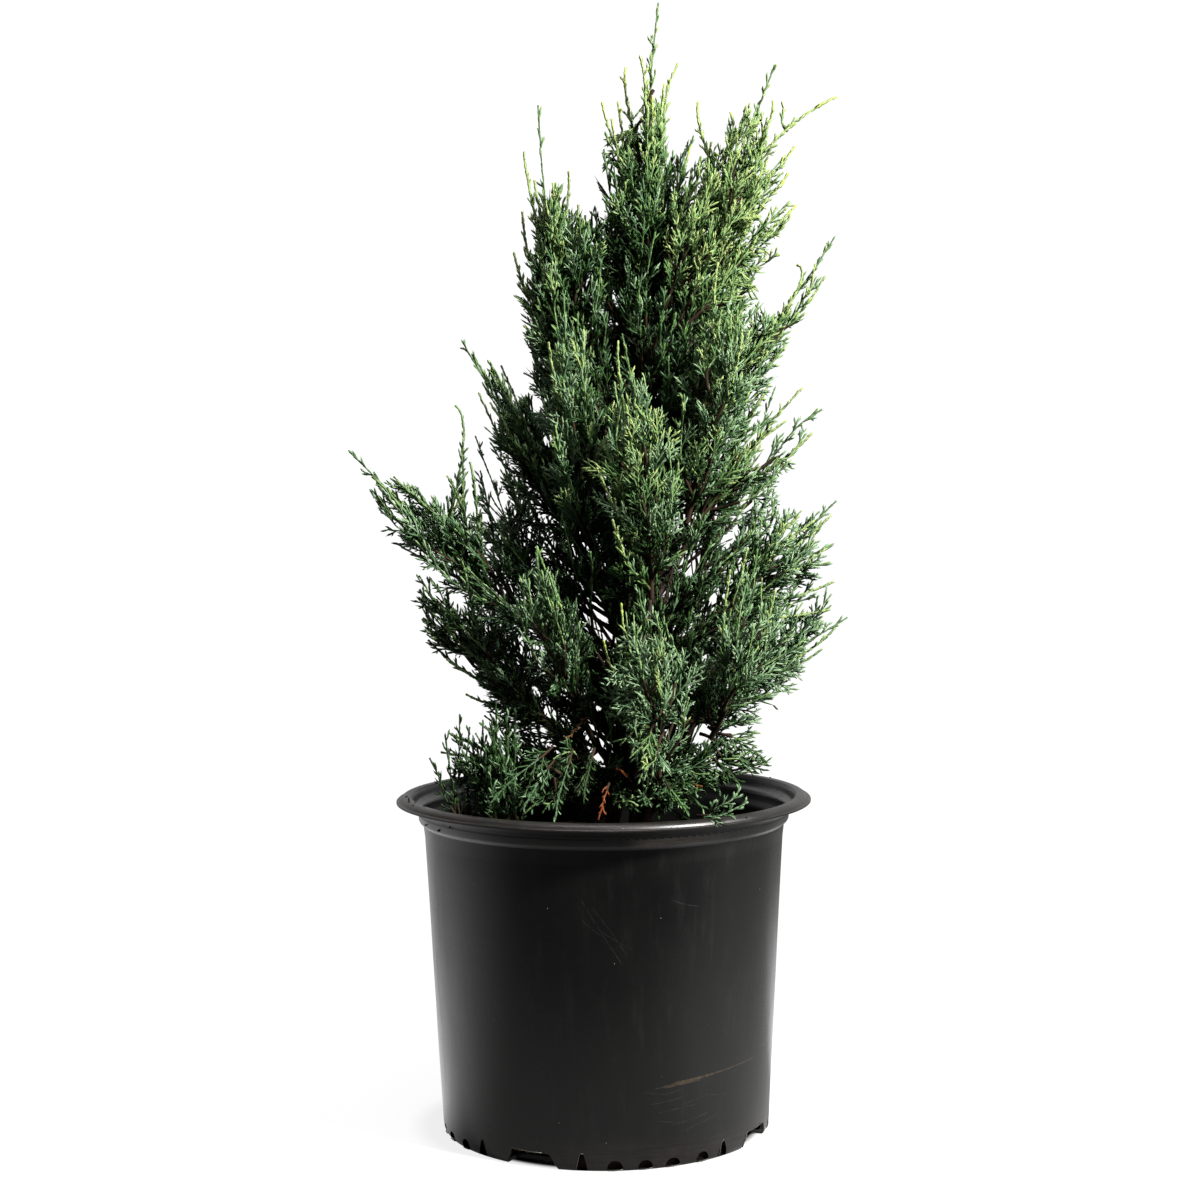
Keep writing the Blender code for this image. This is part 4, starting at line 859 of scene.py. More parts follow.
# shoots close in front of the stems: tip, spray length, tone
VEIL = [
    ((0.020, -0.042, 0.428), 0.022, 0.25), ((0.036, -0.044, 0.442), 0.022, 0.30), ((0.012, -0.036, 0.408), 0.020, 0.15),
    ((0.044, -0.046, 0.404), 0.022, 0.25), ((0.003, -0.034, 0.372), 0.018, 0.05), ((0.026, -0.050, 0.470), 0.022, 0.30),
    ((0.050, -0.048, 0.456), 0.022, 0.30), ((0.030, -0.056, 0.384), 0.020, 0.20), ((0.052, -0.056, 0.352), 0.022, 0.15),
    ((0.018, -0.050, 0.352), 0.020, 0.05), ((0.040, -0.052, 0.428), 0.020, 0.25), ((0.010, -0.044, 0.326), 0.020, -0.05),
    ((0.028, -0.058, 0.402), 0.018, 0.25), ((-0.012, -0.040, 0.340), 0.020, -0.10), ((-0.018, -0.036, 0.372), 0.020, -0.05),
    ((0.062, -0.050, 0.430), 0.024, 0.30), ((0.074, -0.050, 0.418), 0.024, 0.35), ((0.066, -0.054, 0.396), 0.022, 0.25),
    ((0.080, -0.056, 0.444), 0.024, 0.40), ((0.070, -0.056, 0.372), 0.022, 0.20), ((0.056, -0.052, 0.412), 0.022, 0.30),
    ((0.084, -0.050, 0.398), 0.022, 0.30), ((0.064, -0.056, 0.350), 0.022, 0.20), ((0.078, -0.058, 0.334), 0.022, 0.15),
    ((-0.024, -0.046, 0.400), 0.022, 0.05), ((-0.032, -0.042, 0.426), 0.024, 0.10), ((-0.022, -0.040, 0.450), 0.024, 0.15),
    ((-0.036, -0.044, 0.372), 0.022, 0.00), ((-0.024, -0.050, 0.332), 0.020, -0.10), ((-0.032, -0.050, 0.304), 0.020, -0.10),
    ((-0.042, -0.036, 0.444), 0.024, 0.15), ((-0.030, -0.030, 0.470), 0.026, 0.20), ((0.000, -0.040, 0.420), 0.020, 0.10),
    ((0.056, -0.046, 0.612), 0.026, 0.30), ((0.064, -0.044, 0.594), 0.026, 0.35), ((0.050, -0.050, 0.580), 0.026, 0.25),
    ((0.070, -0.046, 0.622), 0.026, 0.40), ((0.060, -0.050, 0.566), 0.024, 0.30), ((0.044, -0.048, 0.602), 0.024, 0.20),
    ((0.048, -0.050, 0.630), 0.024, 0.25), ((0.072, -0.048, 0.580), 0.024, 0.35),
    ((-0.050, -0.040, 0.398), 0.022, 0.05), ((-0.056, -0.030, 0.424), 0.024, 0.10), ((-0.010, -0.036, 0.456), 0.022, 0.15),
]
# openings through the crown where the light comes through, on the plane y = 0:
# x, z, half width, half height
GAPS = [
    (-0.0060, 0.3870, 0.0105, 0.0150), (0.0035, 0.3680, 0.0075, 0.0115), (0.0690, 0.4270, 0.0125, 0.0100),
    (-0.0045, 0.2960, 0.0070, 0.0190), (0.0075, 0.2930, 0.0052, 0.0145), (0.0700, 0.3000, 0.0125, 0.0100),
    (-0.0160, 0.4400, 0.0060, 0.0075), (-0.0780, 0.4080, 0.0055, 0.0090), (-0.0630, 0.2740, 0.0060, 0.0050),
    (0.1010, 0.3950, 0.0050, 0.0065), (0.0500, 0.3000, 0.0042, 0.0045), (0.1235, 0.4110, 0.0062, 0.0105),
    (-0.0785, 0.4700, 0.0050, 0.0085), (-0.0405, 0.5210, 0.0040, 0.0055), (-0.0395, 0.3120, 0.0055, 0.0050),
    (0.0495, 0.4030, 0.0050, 0.0075), (0.0860, 0.4630, 0.0042, 0.0070), (0.1010, 0.4820, 0.0044, 0.0070),
    (0.1105, 0.4700, 0.0044, 0.0068), (0.0935, 0.4440, 0.0040, 0.0060), (0.0995, 0.2985, 0.0060, 0.0045),
    (0.0870, 0.2755, 0.0085, 0.0048), (-0.0100, 0.6350, 0.0034, 0.0060), (-0.0180, 0.6050, 0.0030, 0.0050),
    (-0.0480, 0.5450, 0.0036, 0.0055), (-0.0520, 0.5230, 0.0034, 0.0050), (0.0150, 0.2860, 0.0036, 0.0070),
]
# the same, beside the crown, where its outline draws in
RIM = [
    (-0.0100, 0.7145, 0.0100, 0.0270), (-0.0272, 0.7280, 0.0078, 0.0200), (-0.0032, 0.7352, 0.0055, 0.0250),
    (0.0280, 0.7640, 0.0045, 0.0170), (0.0548, 0.7560, 0.0066, 0.0220), (0.0600, 0.7450, 0.0050, 0.0120),
    (0.0480, 0.7790, 0.0048, 0.0070), (-0.0515, 0.6800, 0.0060, 0.0190), (-0.0845, 0.4980, 0.0048, 0.0160),
    (-0.0883, 0.5370, 0.0105, 0.0170), (-0.1100, 0.3470, 0.0140, 0.0055), (-0.0380, 0.7180, 0.0042, 0.0190),
    (0.1330, 0.6300, 0.0145, 0.0185), (0.1445, 0.6540, 0.0095, 0.0150), (0.1690, 0.6180, 0.0080, 0.0180),
    (0.1560, 0.5860, 0.0100, 0.0160), (0.1400, 0.5660, 0.0165, 0.0085), (0.1180, 0.5050, 0.0110, 0.0130),
    (0.1690, 0.3460, 0.0180, 0.0260), (0.1360, 0.3130, 0.0150, 0.0090), (-0.1120, 0.3320, 0.0270, 0.0160),
    (-0.0590, 0.5735, 0.0085, 0.0200), (0.0850, 0.7560, 0.0050, 0.0140),
]
SKY = GAPS + RIM


def bez(a, b, c, t):
    t = np.asarray(t, float)[..., None]
    a, b, c = (np.asarray(v, float) for v in (a, b, c))
    p = a * (1 - t) ** 2 + b * 2 * t * (1 - t) + c * t * t
    d = (b - a) * 2 * (1 - t) + (c - b) * 2 * t
    return p, unit(d)


def share_of(t, fullest):
    bend = math.log(0.5) / math.log(fullest)
    s = np.sin(math.pi * np.clip(t, 0.0, 1.0) ** bend)
    return np.maximum(s, 0.0) ** np.where(t < fullest, 0.85, 1.15)


def cross_frame(along):
    depth = np.broadcast_to(np.array([0.0, 1.0, 0.0]), along.shape)
    side = unit(np.cross(along, depth))
    depth = unit(np.cross(side, along))
    return side, depth


def in_mass(points, row):
    """Share of the way from a mass's axis to its skin, for each point."""
    ts = np.linspace(0.02, 0.995, 40)
    axis, along = bez(*row[:3], ts)
    side, depth = cross_frame(along)
    d2 = ((points[:, None, :] - axis[None]) ** 2).sum(2)
    k = d2.argmin(1)
    off = points - axis[k]
    sh = share_of(ts[k], row[5])
    a = (off * side[k]).sum(1) / np.maximum(row[3] * sh, 0.003)
    b = (off * depth[k]).sum(1) / np.maximum(row[4] * sh, 0.003)
    return np.sqrt(a * a + b * b), ts[k]


def tube(points, radii, sides, relief=0.0, seed=0.0, caps=True):
    """Round limb through the points, with ridged bark relief."""
    pts = np.asarray(points, float)
    n = len(pts)
    tang = unit(np.gradient(pts, axis=0))
    u = np.zeros_like(pts)
    start = np.array([1.0, 0.0, 0.0]) if abs(tang[0][0]) < 0.8 else np.array([0.0, 1.0, 0.0])
    u[0] = unit(start - tang[0] * (start @ tang[0]))
    for i in range(1, n):
        w = u[i - 1] - tang[i] * (u[i - 1] @ tang[i])
        u[i] = w / max(np.linalg.norm(w), 1e-9)
    v = np.cross(tang, u)
    run = np.concatenate([[0.0], np.cumsum(np.linalg.norm(np.diff(pts, axis=0), axis=1))])
    ang = np.linspace(0, math.tau, sides, endpoint=False)
    verts = np.zeros((n, sides, 3))
    for i in range(n):
        for j, a in enumerate(ang):
            r = radii[i]
            if relief:
                ridge = noise.fractal(Vector((math.cos(a) * 3.2, math.sin(a) * 3.2, run[i] * 26.0 + seed)), 0.8, 2.1, 4)
                flake = noise.noise(Vector((math.cos(a) * 6.0, math.sin(a) * 6.0, run[i] * 120.0 + seed * 2)))
                r = r * (1.0 + relief * (0.75 * ridge + 0.35 * flake))
            verts[i, j] = pts[i] + (u[i] * math.cos(a) + v[i] * math.sin(a)) * r
    tris = []
    for i in range(n - 1):
        for j in range(sides):
            k = (j + 1) % sides
            a, b, c, d = i * sides + j, i * sides + k, (i + 1) * sides + k, (i + 1) * sides + j
            tris += [(a, b, c), (a, c, d)]
    verts = verts.reshape(-1, 3)
    if caps:
        verts = np.vstack([verts, pts[0], pts[-1]])
        lo, hi = len(verts) - 2, len(verts) - 1
        for j in range(sides):
            k = (j + 1) % sides
            tris.append((lo, k, j))
            tris.append((hi, (n - 1) * sides + j, (n - 1) * sides + k))
    return verts, np.array(tris)


def smooth_path(rows, step):
    """A finer run through rows of (x, y, z, radius), by Catmull-Rom."""
    p = np.array(rows, float)
    p = np.vstack([2 * p[0] - p[1], p, 2 * p[-1] - p[-2]])
    out = []
    for i in range(1, len(p) - 2):
        n = max(2, int(np.linalg.norm(p[i + 1, :3] - p[i, :3]) / step))
        for k in range(n):
            t = k / n
            out.append(0.5 * ((2 * p[i]) + (-p[i - 1] + p[i + 1]) * t
                              + (2 * p[i - 1] - 5 * p[i] + 4 * p[i + 1] - p[i + 2]) * t * t
                              + (-p[i - 1] + 3 * p[i] - 3 * p[i + 1] + p[i + 2]) * t ** 3))
    out.append(p[-2])
    out = np.array(out)
    out[:, 3] = np.maximum(out[:, 3], 0.0006)
    return out


def joined(parts):
    verts, tris, base = [], [], 0
    for v, t in parts:
        verts.append(v)
        tris.append(t + base)
        base += len(v)
    return np.vstack(verts), np.vstack(tris)


def at_height(points, z):
    for p, q in zip(points, points[1:]):
        if p[2] <= z <= q[2]:
            s = (z - p[2]) / (q[2] - p[2])
            return np.array([p[i] + (q[i] - p[i]) * s for i in range(3)])
    raise ValueError(z)


def bough_rows(limb, height, mass, radius, n=12):
    """The same limb as the solid: out and up, and a little way into its mass."""
    start = at_height(limb, height)
    end, _ = bez(*MASSES[mass][:3], 0.10)
    bend = start + (end - start) * np.array([0.62, 0.62, 0.34])
    t = np.linspace(0, 1, n)
    p, _ = bez(start, bend, end, t)
    return np.hstack([p, (radius * (1.0 - 0.52 * t))[:, None]])


def make_limbs():
    for name, rows, seed in (("trunk", TRUNK, 1.0), ("second_stem", SECOND_STEM, 7.0)):
        path = smooth_path(rows, 0.0024)
        # a flat cut where it meets the mix
        path[0, 2] = rows[0][2]
        v, t = tube(path[:, :3], path[:, 3], 20, 0.17, seed)
        obj = mesh_object("bark_" + name, v, t, BARK_MAT)
        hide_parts(name)
        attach(obj, "root")
    parts = []
    for k, (name, (limb, height, mass, radius)) in enumerate(BOUGHS.items()):
        rows = bough_rows(TRUNK if limb == "trunk" else SECOND_STEM, height, mass, radius)
        path = smooth_path(rows, 0.0028)
        parts.append(tube(path[:, :3], path[:, 3], 12, 0.15, 3.0 * k))
    v, t = joined(parts)
    obj = mesh_object("bark_boughs", v, t, BARK_MAT)
    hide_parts(*BOUGHS)
    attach(obj, "root")


# ------------------------------------------------------------------ growth
class Shoot:
    """A leafy shoot: its path, and the rule for the sprays along it.

    longest and end are the spray lengths at the foot and at the tip, angles the
    lean of the sprays off the shoot at both, bare the share of the path with none.
    """

    def __init__(self, path, mass, thick, longest, end, step, angles, bare, lift, tone, kind):
        self.path = np.asarray(path, float)
        self.mass, self.thick = mass, thick
        self.longest, self.end, self.step = longest, end, step
        self.angles, self.bare, self.lift, self.tone, self.kind = angles, bare, lift, tone, kind


def wander(path, amount):
    """Small natural waver along a path, none at its two ends."""
    n = len(path)
    t = np.linspace(0, 1, n)[:, None]
    w = np.zeros_like(path)
    for k in (1, 2, 3):
        w += np.sin(math.pi * k * t + math.tau * RNG.random(3)) * RNG.normal(size=3) / k
    return path + w * amount * np.sin(math.pi * t)


def crown_limits(z):
    rows = np.array(CROWN)
    return [float(np.interp(z, rows[:, 0], rows[:, i])) for i in range(1, 5)]


def crown_reach(azimuth, z, x0, y0):
    """Distance from (x0, y0) out to the crown's edge along an azimuth at height z."""
    left, right, front, back = crown_limits(z)
    dx, dy = math.cos(azimuth), math.sin(azimuth)
    ax = (right - x0) if dx > 0 else (x0 - left)
    ay = (back - y0) if dy > 0 else (y0 - front)
    return 1.0 / math.sqrt((dx / max(ax, 0.012)) ** 2 + (dy / max(ay, 0.012)) ** 2)


def grow_shoots():
    shoots = []
    for index, (name, row) in enumerate(MASSES.items()):
        foot, mid, tip, wide, deep, fullest, lift, tone, side_count = row
        axis, _ = bez(foot, mid, tip, np.linspace(0.02, 1.0, 26))
        size = 0.5 * (wide + deep)
        shoots.append(Shoot(wander(axis, 0.004), name, (0.0022, 0.0008), size * 1.00, 0.0075, 0.0078,
                            (42, 15), 0.04, lift, tone, "axis"))
        golden = math.radians(137.5)
        start_angle = RNG.random() * math.tau
        count = int(side_count * (1.50 - 0.30 * lift))
        for k in range(count):
            f = (k + 0.5) / count
            t0 = max(0.01, 0.01 + 0.62 * f + 0.03 * RNG.normal())
            t1 = min(0.90 - 0.16 * lift, t0 + 0.26 + 0.20 * RNG.random() + 0.10 * lift)
            t0 = min(t0, t1 - 0.15)
            theta = start_angle + k * golden + 0.2 * RNG.normal()
            reach = 0.60 + 0.42 * RNG.random()
            s = np.linspace(0, 1, 16)
            tt = t0 + (t1 - t0) * s
            p, along = bez(foot, mid, tip, tt)
            side, depth = cross_frame(along)
            sh = share_of(tt, fullest)[:, None]
            swing = reach * (s ** 0.70)[:, None]
            path = p + (side * math.cos(theta) * wide + depth * math.sin(theta) * deep) * sh * swing
            # its last part grows on clear of the mass
            last = unit(path[-1] - path[-5])
            path = np.vstack([path, path[-1] + last * (0.006 + 0.008 * RNG.random()) + np.array([0, 0, 0.004 * lift])])
            shoots.append(Shoot(wander(path, 0.003), name, (0.0014, 0.0008), 0.0340, 0.0080, 0.0088,
                                (36, 16), 0.10, lift, tone + 0.04, "side"))
        for tipx in WHIPS.get(name, []):
            T = np.array(tipx[:3])
            ts = np.linspace(0.05, 0.9, 60)
            ax, along = bez(foot, mid, tip, ts)
            gap = np.linalg.norm(T - ax, axis=1)
            ahead = ((T - ax) * along).sum(1)
            # leave the axis where the whip would make a narrow angle with it
            score = np.abs(gap - 0.090) + 0.02 * (ahead < 0.6 * gap)
            k = score.argmin()
            B = ax[k]
            bend = B + (T - B) * 0.5 + unit(T - B - along[k] * ahead[k]) * 0.10 * gap[k]
            if len(tipx) == 9:
                B = np.array(tipx[6:])
            if len(tipx) >= 6:
                # one that passes through a place of its own
                bend = 2.0 * np.array(tipx[3:6]) - 0.5 * (B + T)
            p, _ = bez(B, bend, T, np.linspace(0, 1, 24))
            reach = min(0.0180, 0.24 * np.linalg.norm(T - B))
            shoots.append(Shoot(wander(p, 0.0016), name, (0.0013, 0.00105), reach, 0.0036, 0.0034,
                                (28, 15), 0.04, max(lift, 0.5), tone + 0.20, "whip"))
        for tipx in EDGES.get(name, []):
            T = np.array(tipx[:3])
            ts = np.linspace(0.05, 0.8, 60)
            ax, along = bez(foot, mid, tip, ts)
            k = np.abs(np.linalg.norm(T - ax, axis=1) - 0.060).argmin()
            B = np.array(tipx[3:]) if len(tipx) == 6 else ax[k]
            bend = B + (T - B) * 0.5 + np.array([0.0, 0.0, -0.004])
            p, _ = bez(B, bend, T, np.linspace(0, 1, 20))
            shoots.append(Shoot(wander(p, 0.002), name, (0.0014, 0.0009), 0.0280, 0.0080, 0.0080,
                                (36, 16), 0.15, lift, tone + 0.06, "edge"))
    for tipx, longest, tone in APRON:
        tipx = np.array(tipx)
        limb = TRUNK if tipx[0] > 0.016 else SECOND_STEM
        start = at_height(limb, 0.236 + 0.012 * RNG.random())
        bend = start + (tipx - start) * np.array([0.6, 0.6, 0.2]) + np.array([0, 0, 0.022])
        p, _ = bez(start, bend, tipx, np.linspace(0, 1, 20))
        shoots.append(Shoot(wander(p, 0.003), "", (0.0016, 0.0008), longest, 0.0060, 0.0048,
                            (44, 24), 0.25, -0.1, tone - 0.10, "apron"))
    for tipx, longest, tone in VEIL:
        tipx = np.array(tipx)
        limb = TRUNK if tipx[0] > 0.010 else SECOND_STEM
        start = at_height(limb, max(tipx[2] - 0.075, 0.232))
        bend = start + (tipx - start) * np.array([0.7, 0.75, 0.35])
        p, _ = bez(start, bend, tipx, np.linspace(0, 1, 20))
        shoots.append(Shoot(wander(p, 0.003), "", (0.0015, 0.0008), longest, 0.0070, 0.0062,
                            (36, 17), 0.20, 0.5, tone, "apron"))
    for foot, tipx, longest, tone in RISING:
        foot, tipx = np.array(foot), np.array(tipx)
        p, _ = bez(foot, foot + (tipx - foot) * np.array([0.8, 0.7, 0.45]), tipx, np.linspace(0, 1, 18))
        sparse = tone < -0.2
        shoots.append(Shoot(wander(p, 0.002), "", (0.0013, 0.0009), longest, 0.0046, 0.0060 if sparse else 0.0044,
                            (44, 30) if sparse else (34, 17), 0.40 if sparse else 0.06, 0.8, tone, "rising"))
    for foot, bend, tipx, longest, face, shade in FANS:
        p, _ = bez(foot, bend, tipx, np.linspace(0, 1, 20))
        fan = Shoot(wander(p, 0.0012), "", (0.0010, 0.0008), longest, 0.0050, 0.0030,
                    (36, 20), 0.10, -0.3 if tipx[2] < bend[2] else 0.3, 0.4, "fan")
        fan.step = 0.0032 if longest < 0.012 else 0.0047
        fan.face, fan.shade = unit(np.array(face)), shade
        shoots.append(fan)
    # shoots that fill the crown between the masses, from the stems outward
    golden = math.radians(137.5)
    for k in range(INFILL):
        f = (k + 0.5) / INFILL
        azimuth = k * golden + 0.15 * RNG.normal()
        z0 = 0.228 + 0.42 * f + 0.01 * RNG.normal()
        other = RNG.random() < 0.35
        limb = SECOND_STEM if ((math.cos(azimuth) < -0.1) != other and z0 < 0.655) else TRUNK
        start = at_height(limb, max(z0, SOIL_TOP + 0.012))
        rise = 0.045 + 0.055 * RNG.random() + 0.055 * f
        end_z = min(start[2] + rise, 0.735)
        out = crown_reach(azimuth, end_z, start[0], start[1]) * (0.50 + 0.44 * RNG.random())
        end = np.array([start[0] + out * math.cos(azimuth), start[1] + out * math.sin(azimuth), end_z])
        bend = start + (end - start) * np.array([0.60, 0.60, 0.30])
        p, _ = bez(start, bend, end, np.linspace(0, 1, 20))
        lift = 0.35 + 0.6 * f
        shoots.append(Shoot(wander(p, 0.004), "", (0.0018, 0.0008), 0.0360, 0.0085, 0.0090,
                            (38, 17), 0.22, lift, 0.42, "infill"))
    return shoots


class Crop:
    """Branchlets gathered shade by shade."""

    def __init__(self):
        self.rows = []      # (p0, p1, p2, radius, shade, fine)

    def add(self, p0, p1, p2, r, shade, fine):
        self.rows.append((p0, p1, p2, r, shade, np.full(len(p0), fine)))

    def gather(self):
        return [np.concatenate([row[i] for row in self.rows]) for i in range(6)]


def turned_from(direction, angle, spin_axis):
    """Direction leaned by angle towards spin_axis, which is square to it."""
    return unit(direction * np.cos(angle)[:, None] + spin_axis * np.sin(angle)[:, None])


def in_sky(points, grow=1.0, openings=SKY):
    cam = np.array(CAMERA_AT)
    t = (0.0 - cam[1]) / (points[:, 1] - cam[1])
    q = cam + (points - cam) * t[:, None]
    hit = np.zeros(len(points), bool)
    for x, z, rx, rz in openings:
        hit |= ((q[:, 0] - x) / (rx * grow)) ** 2 + ((q[:, 2] - z) / (rz * grow)) ** 2 < 1.0
    return hit


def sky_hit(points, grow=1.0):
    # a few branchlets still cross each opening
    return in_sky(points, grow) & (RNG.random(len(points)) < 0.93)


def crown_share(points):
    """Share of the way from the crown's middle to its edge."""
    rows = np.array(CROWN)
    left, right, front, back = (np.interp(points[:, 2], rows[:, 0], rows[:, i]) for i in range(1, 5))
    cx = 0.5 * (left + right)
    half = np.maximum(0.5 * (right - left), 0.01)
    dy = np.where(points[:, 1] > 0, points[:, 1] / np.maximum(back, 0.01), points[:, 1] / np.minimum(front, -0.01))
    return np.sqrt(((points[:, 0] - cx) / half) ** 2 + dy ** 2)


def pick_shade(depth, f, z, tone, bonus, jitter):
    """Shade for each spray from how far out it sits, how far along its shoot,
    height and the tone of its mass. Sprays deep in the crown get darker colours: painted shade."""
    light = 0.60 * np.clip(depth, 0, 1.15) - 0.06 + 0.24 * f + 0.50 * (tone - 0.4) + bonus + 0.14 * jitter
    light += 0.18 * np.clip((z - 0.45) / 0.35, -0.5, 1.0)
    shade = np.full(len(f), DEEP)
    shade[light < 0.20] = INNER
    cool = tone + 0.32 * np.clip((z - 0.44) / 0.3, -1, 1) + 0.15 * RNG.normal(size=len(f)) < 0.60
    shade[light >= 0.38] = MID
    shade[(light >= 0.34) & cool] = BLUE
    shade[light >= 0.62] = FRESH
    shade[(light >= 0.56) & cool] = GLAUCOUS
    shade[(light >= 0.90) & ~cool] = YELLOW
    return shade


def grow(shoots):
    crop = Crop()
    twigs = {"brown": [], "green": []}
    B, D, N, L, F, TONE, KIND, LIFT, FORCED, GLOW = ([] for _ in range(10))
    for number, sh in enumerate(shoots):
        path = sh.path
        if sh.kind in ("side", "infill", "apron", "edge"):
            # a shoot stops short where the light comes through
            late = np.flatnonzero(in_sky(path, 1.0, RIM) & (np.linspace(0, 1, len(path)) > 0.45))
            if len(late):
                path = path[:max(late[0], 6)]
        seg = np.linalg.norm(np.diff(path, axis=0), axis=1)
        run = np.concatenate([[0], np.cumsum(seg)])
        total = run[-1]
        tang = unit(np.gradient(path, axis=0))

        def at(s):
            return (np.stack([np.interp(s, run, path[:, i]) for i in range(3)], 1),
                    unit(np.stack([np.interp(s, run, tang[:, i]) for i in range(3)], 1)))

        s = np.arange(sh.bare * total, total - 0.0060, sh.step)
        s = s + RNG.normal(size=len(s)) * sh.step * 0.20
        s = np.clip(s, 0, total)
        p, T = at(s)
        f = s / total
        n = len(s)
        e1 = unit(np.cross(T, RNG.normal(size=3)))
        e2 = np.cross(T, e1)
        a = RNG.random() * math.tau + np.arange(n) * math.radians(137.5) + RNG.normal(size=n) * 0.25
        out = e1 * np.cos(a)[:, None] + e2 * np.sin(a)[:, None]
        if sh.kind == "fan":
            out = unit(np.cross(T, sh.face)) * np.where(np.arange(n) % 2 == 0, 1.0, -1.0)[:, None]
        phi = np.radians(sh.angles[0] + (sh.angles[1] - sh.angles[0]) * f + RNG.normal(size=n) * 5.0)
        d = turned_from(T, phi, out)
        # upswept growth turns up, hanging growth turns down
        d = unit(d + np.array([0, 0, 1.0]) * (0.16 * sh.lift))
        length = sh.end + (sh.longest - sh.end) * (1 - f) ** {"whip": 1.50, "axis": 1.20}.get(sh.kind, 0.85)
        length = length * (0.70 + 0.55 * RNG.random(n))
        if sh.kind in ("axis", "side"):
            row = MASSES[sh.mass]
            q0, _ = in_mass(p, row)
            q1, _ = in_mass(p + d * length[:, None], row)
            limit = 1.16 + 0.12 * RNG.normal(size=n)
            over = q1 > limit
            scale = np.where(over, np.clip((limit - q0) / np.maximum(q1 - q0, 1e-3), 0.40, 1.0), 1.0)
            length = length * scale
        elif sh.kind == "infill":
            c0, c1 = crown_share(p), crown_share(p + d * length[:, None])
            length = length * np.where(c1 > 0.98, np.clip((0.98 - c0) / np.maximum(c1 - c0, 1e-3), 0.35, 1.0), 1.0)
        length = np.maximum(length, 0.0030)
        B.append(p); D.append(d); L.append(length); F.append(f)
        # sprays lie with their flat side outward
        outward = unit((p - np.array([0.024, 0.0, 0.0])) * np.array([1.0, 1.0, 0.0]) + 1e-6) + np.array([0, 0, 0.25])
        face = {"fan": np.broadcast_to(getattr(sh, "face", np.zeros(3)), (n, 3)),
                "axis": outward * 1.1, "side": outward * 1.3, "edge": outward * 1.3}.get(sh.kind, outward * 0.6)
        N.append(RNG.normal(size=(n, 3)) * (0.25 if sh.kind == "fan" else 0.60) + face)
        FORCED.append(np.full(n, sh.shade if sh.kind == "fan" else -1))
        GLOW.append(np.full(n, BRIGHTER.get(sh.mass, 0.0)))
        TONE.append(np.full(n, sh.tone)); LIFT.append(np.full(n, sh.lift))
        KIND.append(np.full(n, {"axis": 0, "side": 1, "edge": 1, "whip": 2, "infill": 3, "apron": 3, "rising": 1, "fan": 4}[sh.kind]))
        # the shoot itself: a twig where it is old, leafy where it is young
        front = sh.kind == "axis" and path[:, 1].mean() < -0.03
        leafy = {"axis": 0.22 if front else 0.55, "side": 0.42, "edge": 0.42, "whip": 0.22, "infill": 0.60, "apron": 0.55, "rising": 0.35,
                 "fan": 0.25}[sh.kind]
        cut = max(2, int(len(path) * leafy))
        radii = np.linspace(sh.thick[0], sh.thick[1], len(path))
        sparse = sorted(set(range(0, cut + 1, 2)) | {cut})
        twigs["green" if sh.kind == "whip" else "brown"].append(
            tube(path[sparse], radii[sparse], 4, caps=False))
        s0 = np.arange(run[cut] - 0.001, total - 0.002, 0.0048)
        a0, _ = at(s0)
        a1, _ = at(np.minimum(s0 + 0.0040, total))
        a2, _ = at(np.minimum(s0 + 0.0062, total))
        m = len(s0)
        thick = 0.00115 if sh.kind == "whip" else 0.00085
        tipward = (s0 / total) > 0.86
        colour = np.full(m, YELLOW if sh.kind == "whip" and sh.tone > 0.60 else FRESH)
        if sh.kind in ("infill", "apron", "rising", "axis"):
            colour[:] = MID if sh.tone > 0.2 else DEEP
        if sh.kind == "fan":
            colour[:] = sh.shade
        if sh.kind == "whip":
            colour[s0 / total < 0.55] = FRESH
            colour[tipward & (sh.tone > 0.70)] = LIME
        crop.add(a0, a1, a2, np.full(m, thick) * (0.9 + 0.25 * RNG.random(m)), colour, 0)
    B, D, N = np.vstack(B), unit(np.vstack(D)), np.vstack(N)
    L, F, TONE, KIND, LIFT, FORCED, GLOW = map(np.concatenate, (L, F, TONE, KIND, LIFT, FORCED, GLOW))
    keep = ~sky_hit(B + D * (L * 0.6)[:, None], 1.12) | (KIND == 4) | (KIND == 2)
    B, D, N, L, F, TONE, KIND, LIFT, FORCED, GLOW = (v[keep] for v in (B, D, N, L, F, TONE, KIND, LIFT, FORCED, GLOW))
    # how far out each spray sits: the crown's middle gets painted shade; near the top of the leader sprays count as at
    # the edge; infill and apron shoots are painted darker still, whips paler
    depth = crown_share(B + D * L[:, None])
    depth = np.maximum(depth, np.clip((B[:, 2] - 0.69) / 0.08, 0.0, 1.05))
    bonus = np.select([KIND == 2, KIND == 3], [0.10, -0.12], -0.03) + GLOW
    shade = pick_shade(depth, F, B[:, 2], TONE, bonus, RNG.normal(size=len(B)))
    tips = (KIND == 2) & (F > 0.62)
    shade[tips] = np.where(TONE[tips] > 0.60, YELLOW, FRESH)
    shade[tips & (TONE > 0.72) & (F > 0.78)] = LIME
    shade = np.where(FORCED >= 0, FORCED, shade)

    # plane of each spray
    up = unit(N - D * (N * D).sum(1)[:, None])
    flat = np.cross(up, D)
    bend = np.array([0, 0, 1.0]) * (LIFT * 0.35 - 0.03)[:, None]

    def on_spray(i, s):
        """Point and direction at distance s along spray i, which bends a little."""
        u = (s / L[i])[:, None]
        p = B[i] + D[i] * s[:, None] + bend[i] * (u * u) * (L[i] * 0.30)[:, None]
        t = unit(D[i] + bend[i] * (2 * u) * 0.30)
        return p, t

    # the spray's own stem
    idx = np.arange(len(B))
    p0, _ = on_spray(idx, L * 0.0)
    p1, _ = on_spray(idx, L * 0.55)
    p2, _ = on_spray(idx, L * 1.0)
    crop.add(p0, p1, p2 + (p2 - p1) * 0.12, np.full(len(B), 0.00082), OLDER[shade], 0)

